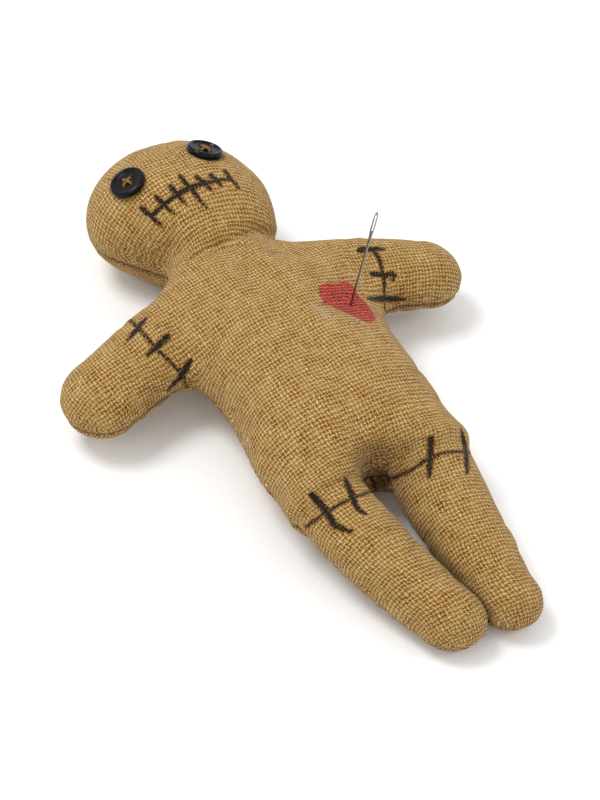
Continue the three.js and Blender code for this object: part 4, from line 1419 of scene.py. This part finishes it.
    # The smear, the heart and the ink are the cloth's own marks. The last coat is painted shade in the hollows and
    # along the seam's groove.
    coats = ((smear, linear(SMEAR_COLOUR)), (heart, red), (ink, linear(INK_COLOUR)), (painted_shade, linear(PAINTED_SHADE_COLOUR)))
    for share, coat in coats:
        colour = add(tree, MIX, {"Factor": share, 6: colour, 7: coat}, out=2, data_type="RGBA")
    normal = add(tree, "ShaderNodeBump", {"Height": height, "Strength": 0.8, "Distance": WEAVE_DEPTH * MM})
    looks = {"Base Color": colour, "Normal": normal, "Roughness": 0.92, "Specular IOR Level": 0.1}
    connect(tree, shader, {**looks, "Sheen Weight": 0.08, "Sheen Roughness": 0.5})
    return material


def grained_material(name, size, detail, dark, pale, spread=None):
    """A material whose colour changes with a fine grain, from dark to pale over a spread, and that grain."""
    material, tree, shader = new_material(name)
    place = add(tree, "ShaderNodeTexCoord", out="Object")
    grain = add(tree, NOISE, {"Vector": place, "Scale": 1 / (size * MM), "Detail": detail})
    share = add(tree, RANGE, (grain, *spread)) if spread else grain
    shade = add(tree, MIX, {"Factor": share, 6: linear(dark), 7: linear(pale)}, out=2, data_type="RGBA")
    connect(tree, shader, {"Base Color": shade})
    return material, tree, shader, grain


def button_material():
    """Polished black button plastic: deep black, smooth, with faint rub marks that blur its shine in places."""
    material, tree, shader, rub = grained_material("polished_black_plastic", RUB_SIZE, 4.0, "#05060a", "#0c0d11")
    rough = add(tree, RANGE, (rub, 0.35, 0.75, 0.08, 0.17))
    connect(tree, shader, {"Roughness": rough, "IOR": 1.46, "Specular IOR Level": 0.2})
    return material


def thread_material(name, dark, pale):
    """Cotton sewing thread or jute fibre: matte, with paler fibres on the outside of its twist."""
    material, tree, shader, fibre = grained_material(name, FIBRE_GRAIN, 3.0, dark, pale, (0.3, 0.7))
    normal = add(tree, "ShaderNodeBump", {"Height": fibre, "Strength": 0.6, "Distance": 0.1 * MM})
    connect(tree, shader, {"Normal": normal, "Roughness": 0.85, "Sheen Weight": 0.2})
    return material


def steel_material():
    """Bright drawn needle steel: mirror-like, with fine drawing marks."""
    material, tree, shader, mark = grained_material("polished_steel", DRAWING_MARK, 3.0, "#75777b", "#bdbfc2")
    rough = add(tree, RANGE, (mark, 0.3, 0.7, 0.1, 0.22))
    connect(tree, shader, {"Roughness": rough, "Metallic": 1.0})
    return material


def paper_material():
    """White backdrop paper: matte, with a hardly visible grain."""
    material, tree, shader, _ = grained_material("white_backdrop_paper", PAPER_GRAIN, 2.0, "#f2f2f2", "#fafafa")
    connect(tree, shader, {"Roughness": 0.95})
    return material


# Studio: a white floor and air, and each lamp's place in metres, size and power

FLOOR_REACH = 4.0
AIR_STRENGTH = 0.9
LAMPS = {"key": ((-0.32, 0.34, 0.98), 0.45, 5.6), "fill": ((0.7, -0.6, 0.8), 0.3, 1.5)}


def make_studio():
    scene = bpy.context.scene
    scene.view_settings.view_transform = "Standard"
    scene.world = bpy.data.worlds.new("studio_air")
    scene.world.use_nodes = True
    tree = scene.world.node_tree
    connect(tree, tree.nodes["Background"], {"Color": (1, 1, 1, 1), "Strength": AIR_STRENGTH})
    reach = FLOOR_REACH
    corners = [(-reach, -reach, 0), (reach, -reach, 0), (reach, reach, 0), (-reach, reach, 0)]
    floor = shown("backdrop", new_mesh("backdrop", corners, faces=[(0, 1, 2, 3)]))
    floor.data.materials.append(paper_material())
    for name, (place, size, power) in LAMPS.items():
        data = bpy.data.lights.new(name, "AREA")
        data.shape = "DISK"
        data.size = size
        data.energy = power
        lamp = shown(name, data)
        lamp.location = place
        lamp.rotation_euler = (-Vector(place)).to_track_quat("-Z", "Y").to_euler()


make_camera()
skin = base_skin()
loop = seam_loop(skin)
shape_details(skin, loop)
seam_ring = places_of(skin)[loop]
ring_leg = read_attribute(skin, "own_leg")[loop]
marks = Marks(skin, seam_ring)
refine_marks(skin, marks)
mark_skin(skin, marks)
cloths = split_skin(skin)
burlap = burlap_material()
for body, piece in cloths.items():
    piece.data.materials.append(burlap)
    follow(piece, body)
    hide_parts(*[n for n in frame["record"]["behaviour"]["bodies"][body] if not n.endswith("seam_thread")])
# The seam's brown cotton thread, painted darker than its own colour as painted shade in the seam's groove.
sew_seam(seam_ring, ring_leg, thread_material("brown_thread_darkened_as_seam_shade", "#33210e", "#5c4222"))
raise_fibres(cloths, thread_material("jute_fibre", "#b4935a", "#d9c08a"))
sew_eyes(button_material(), thread_material("ochre_cotton_thread", "#5e3c10", "#98681f"))
stand_needle(steel_material())
make_studio()
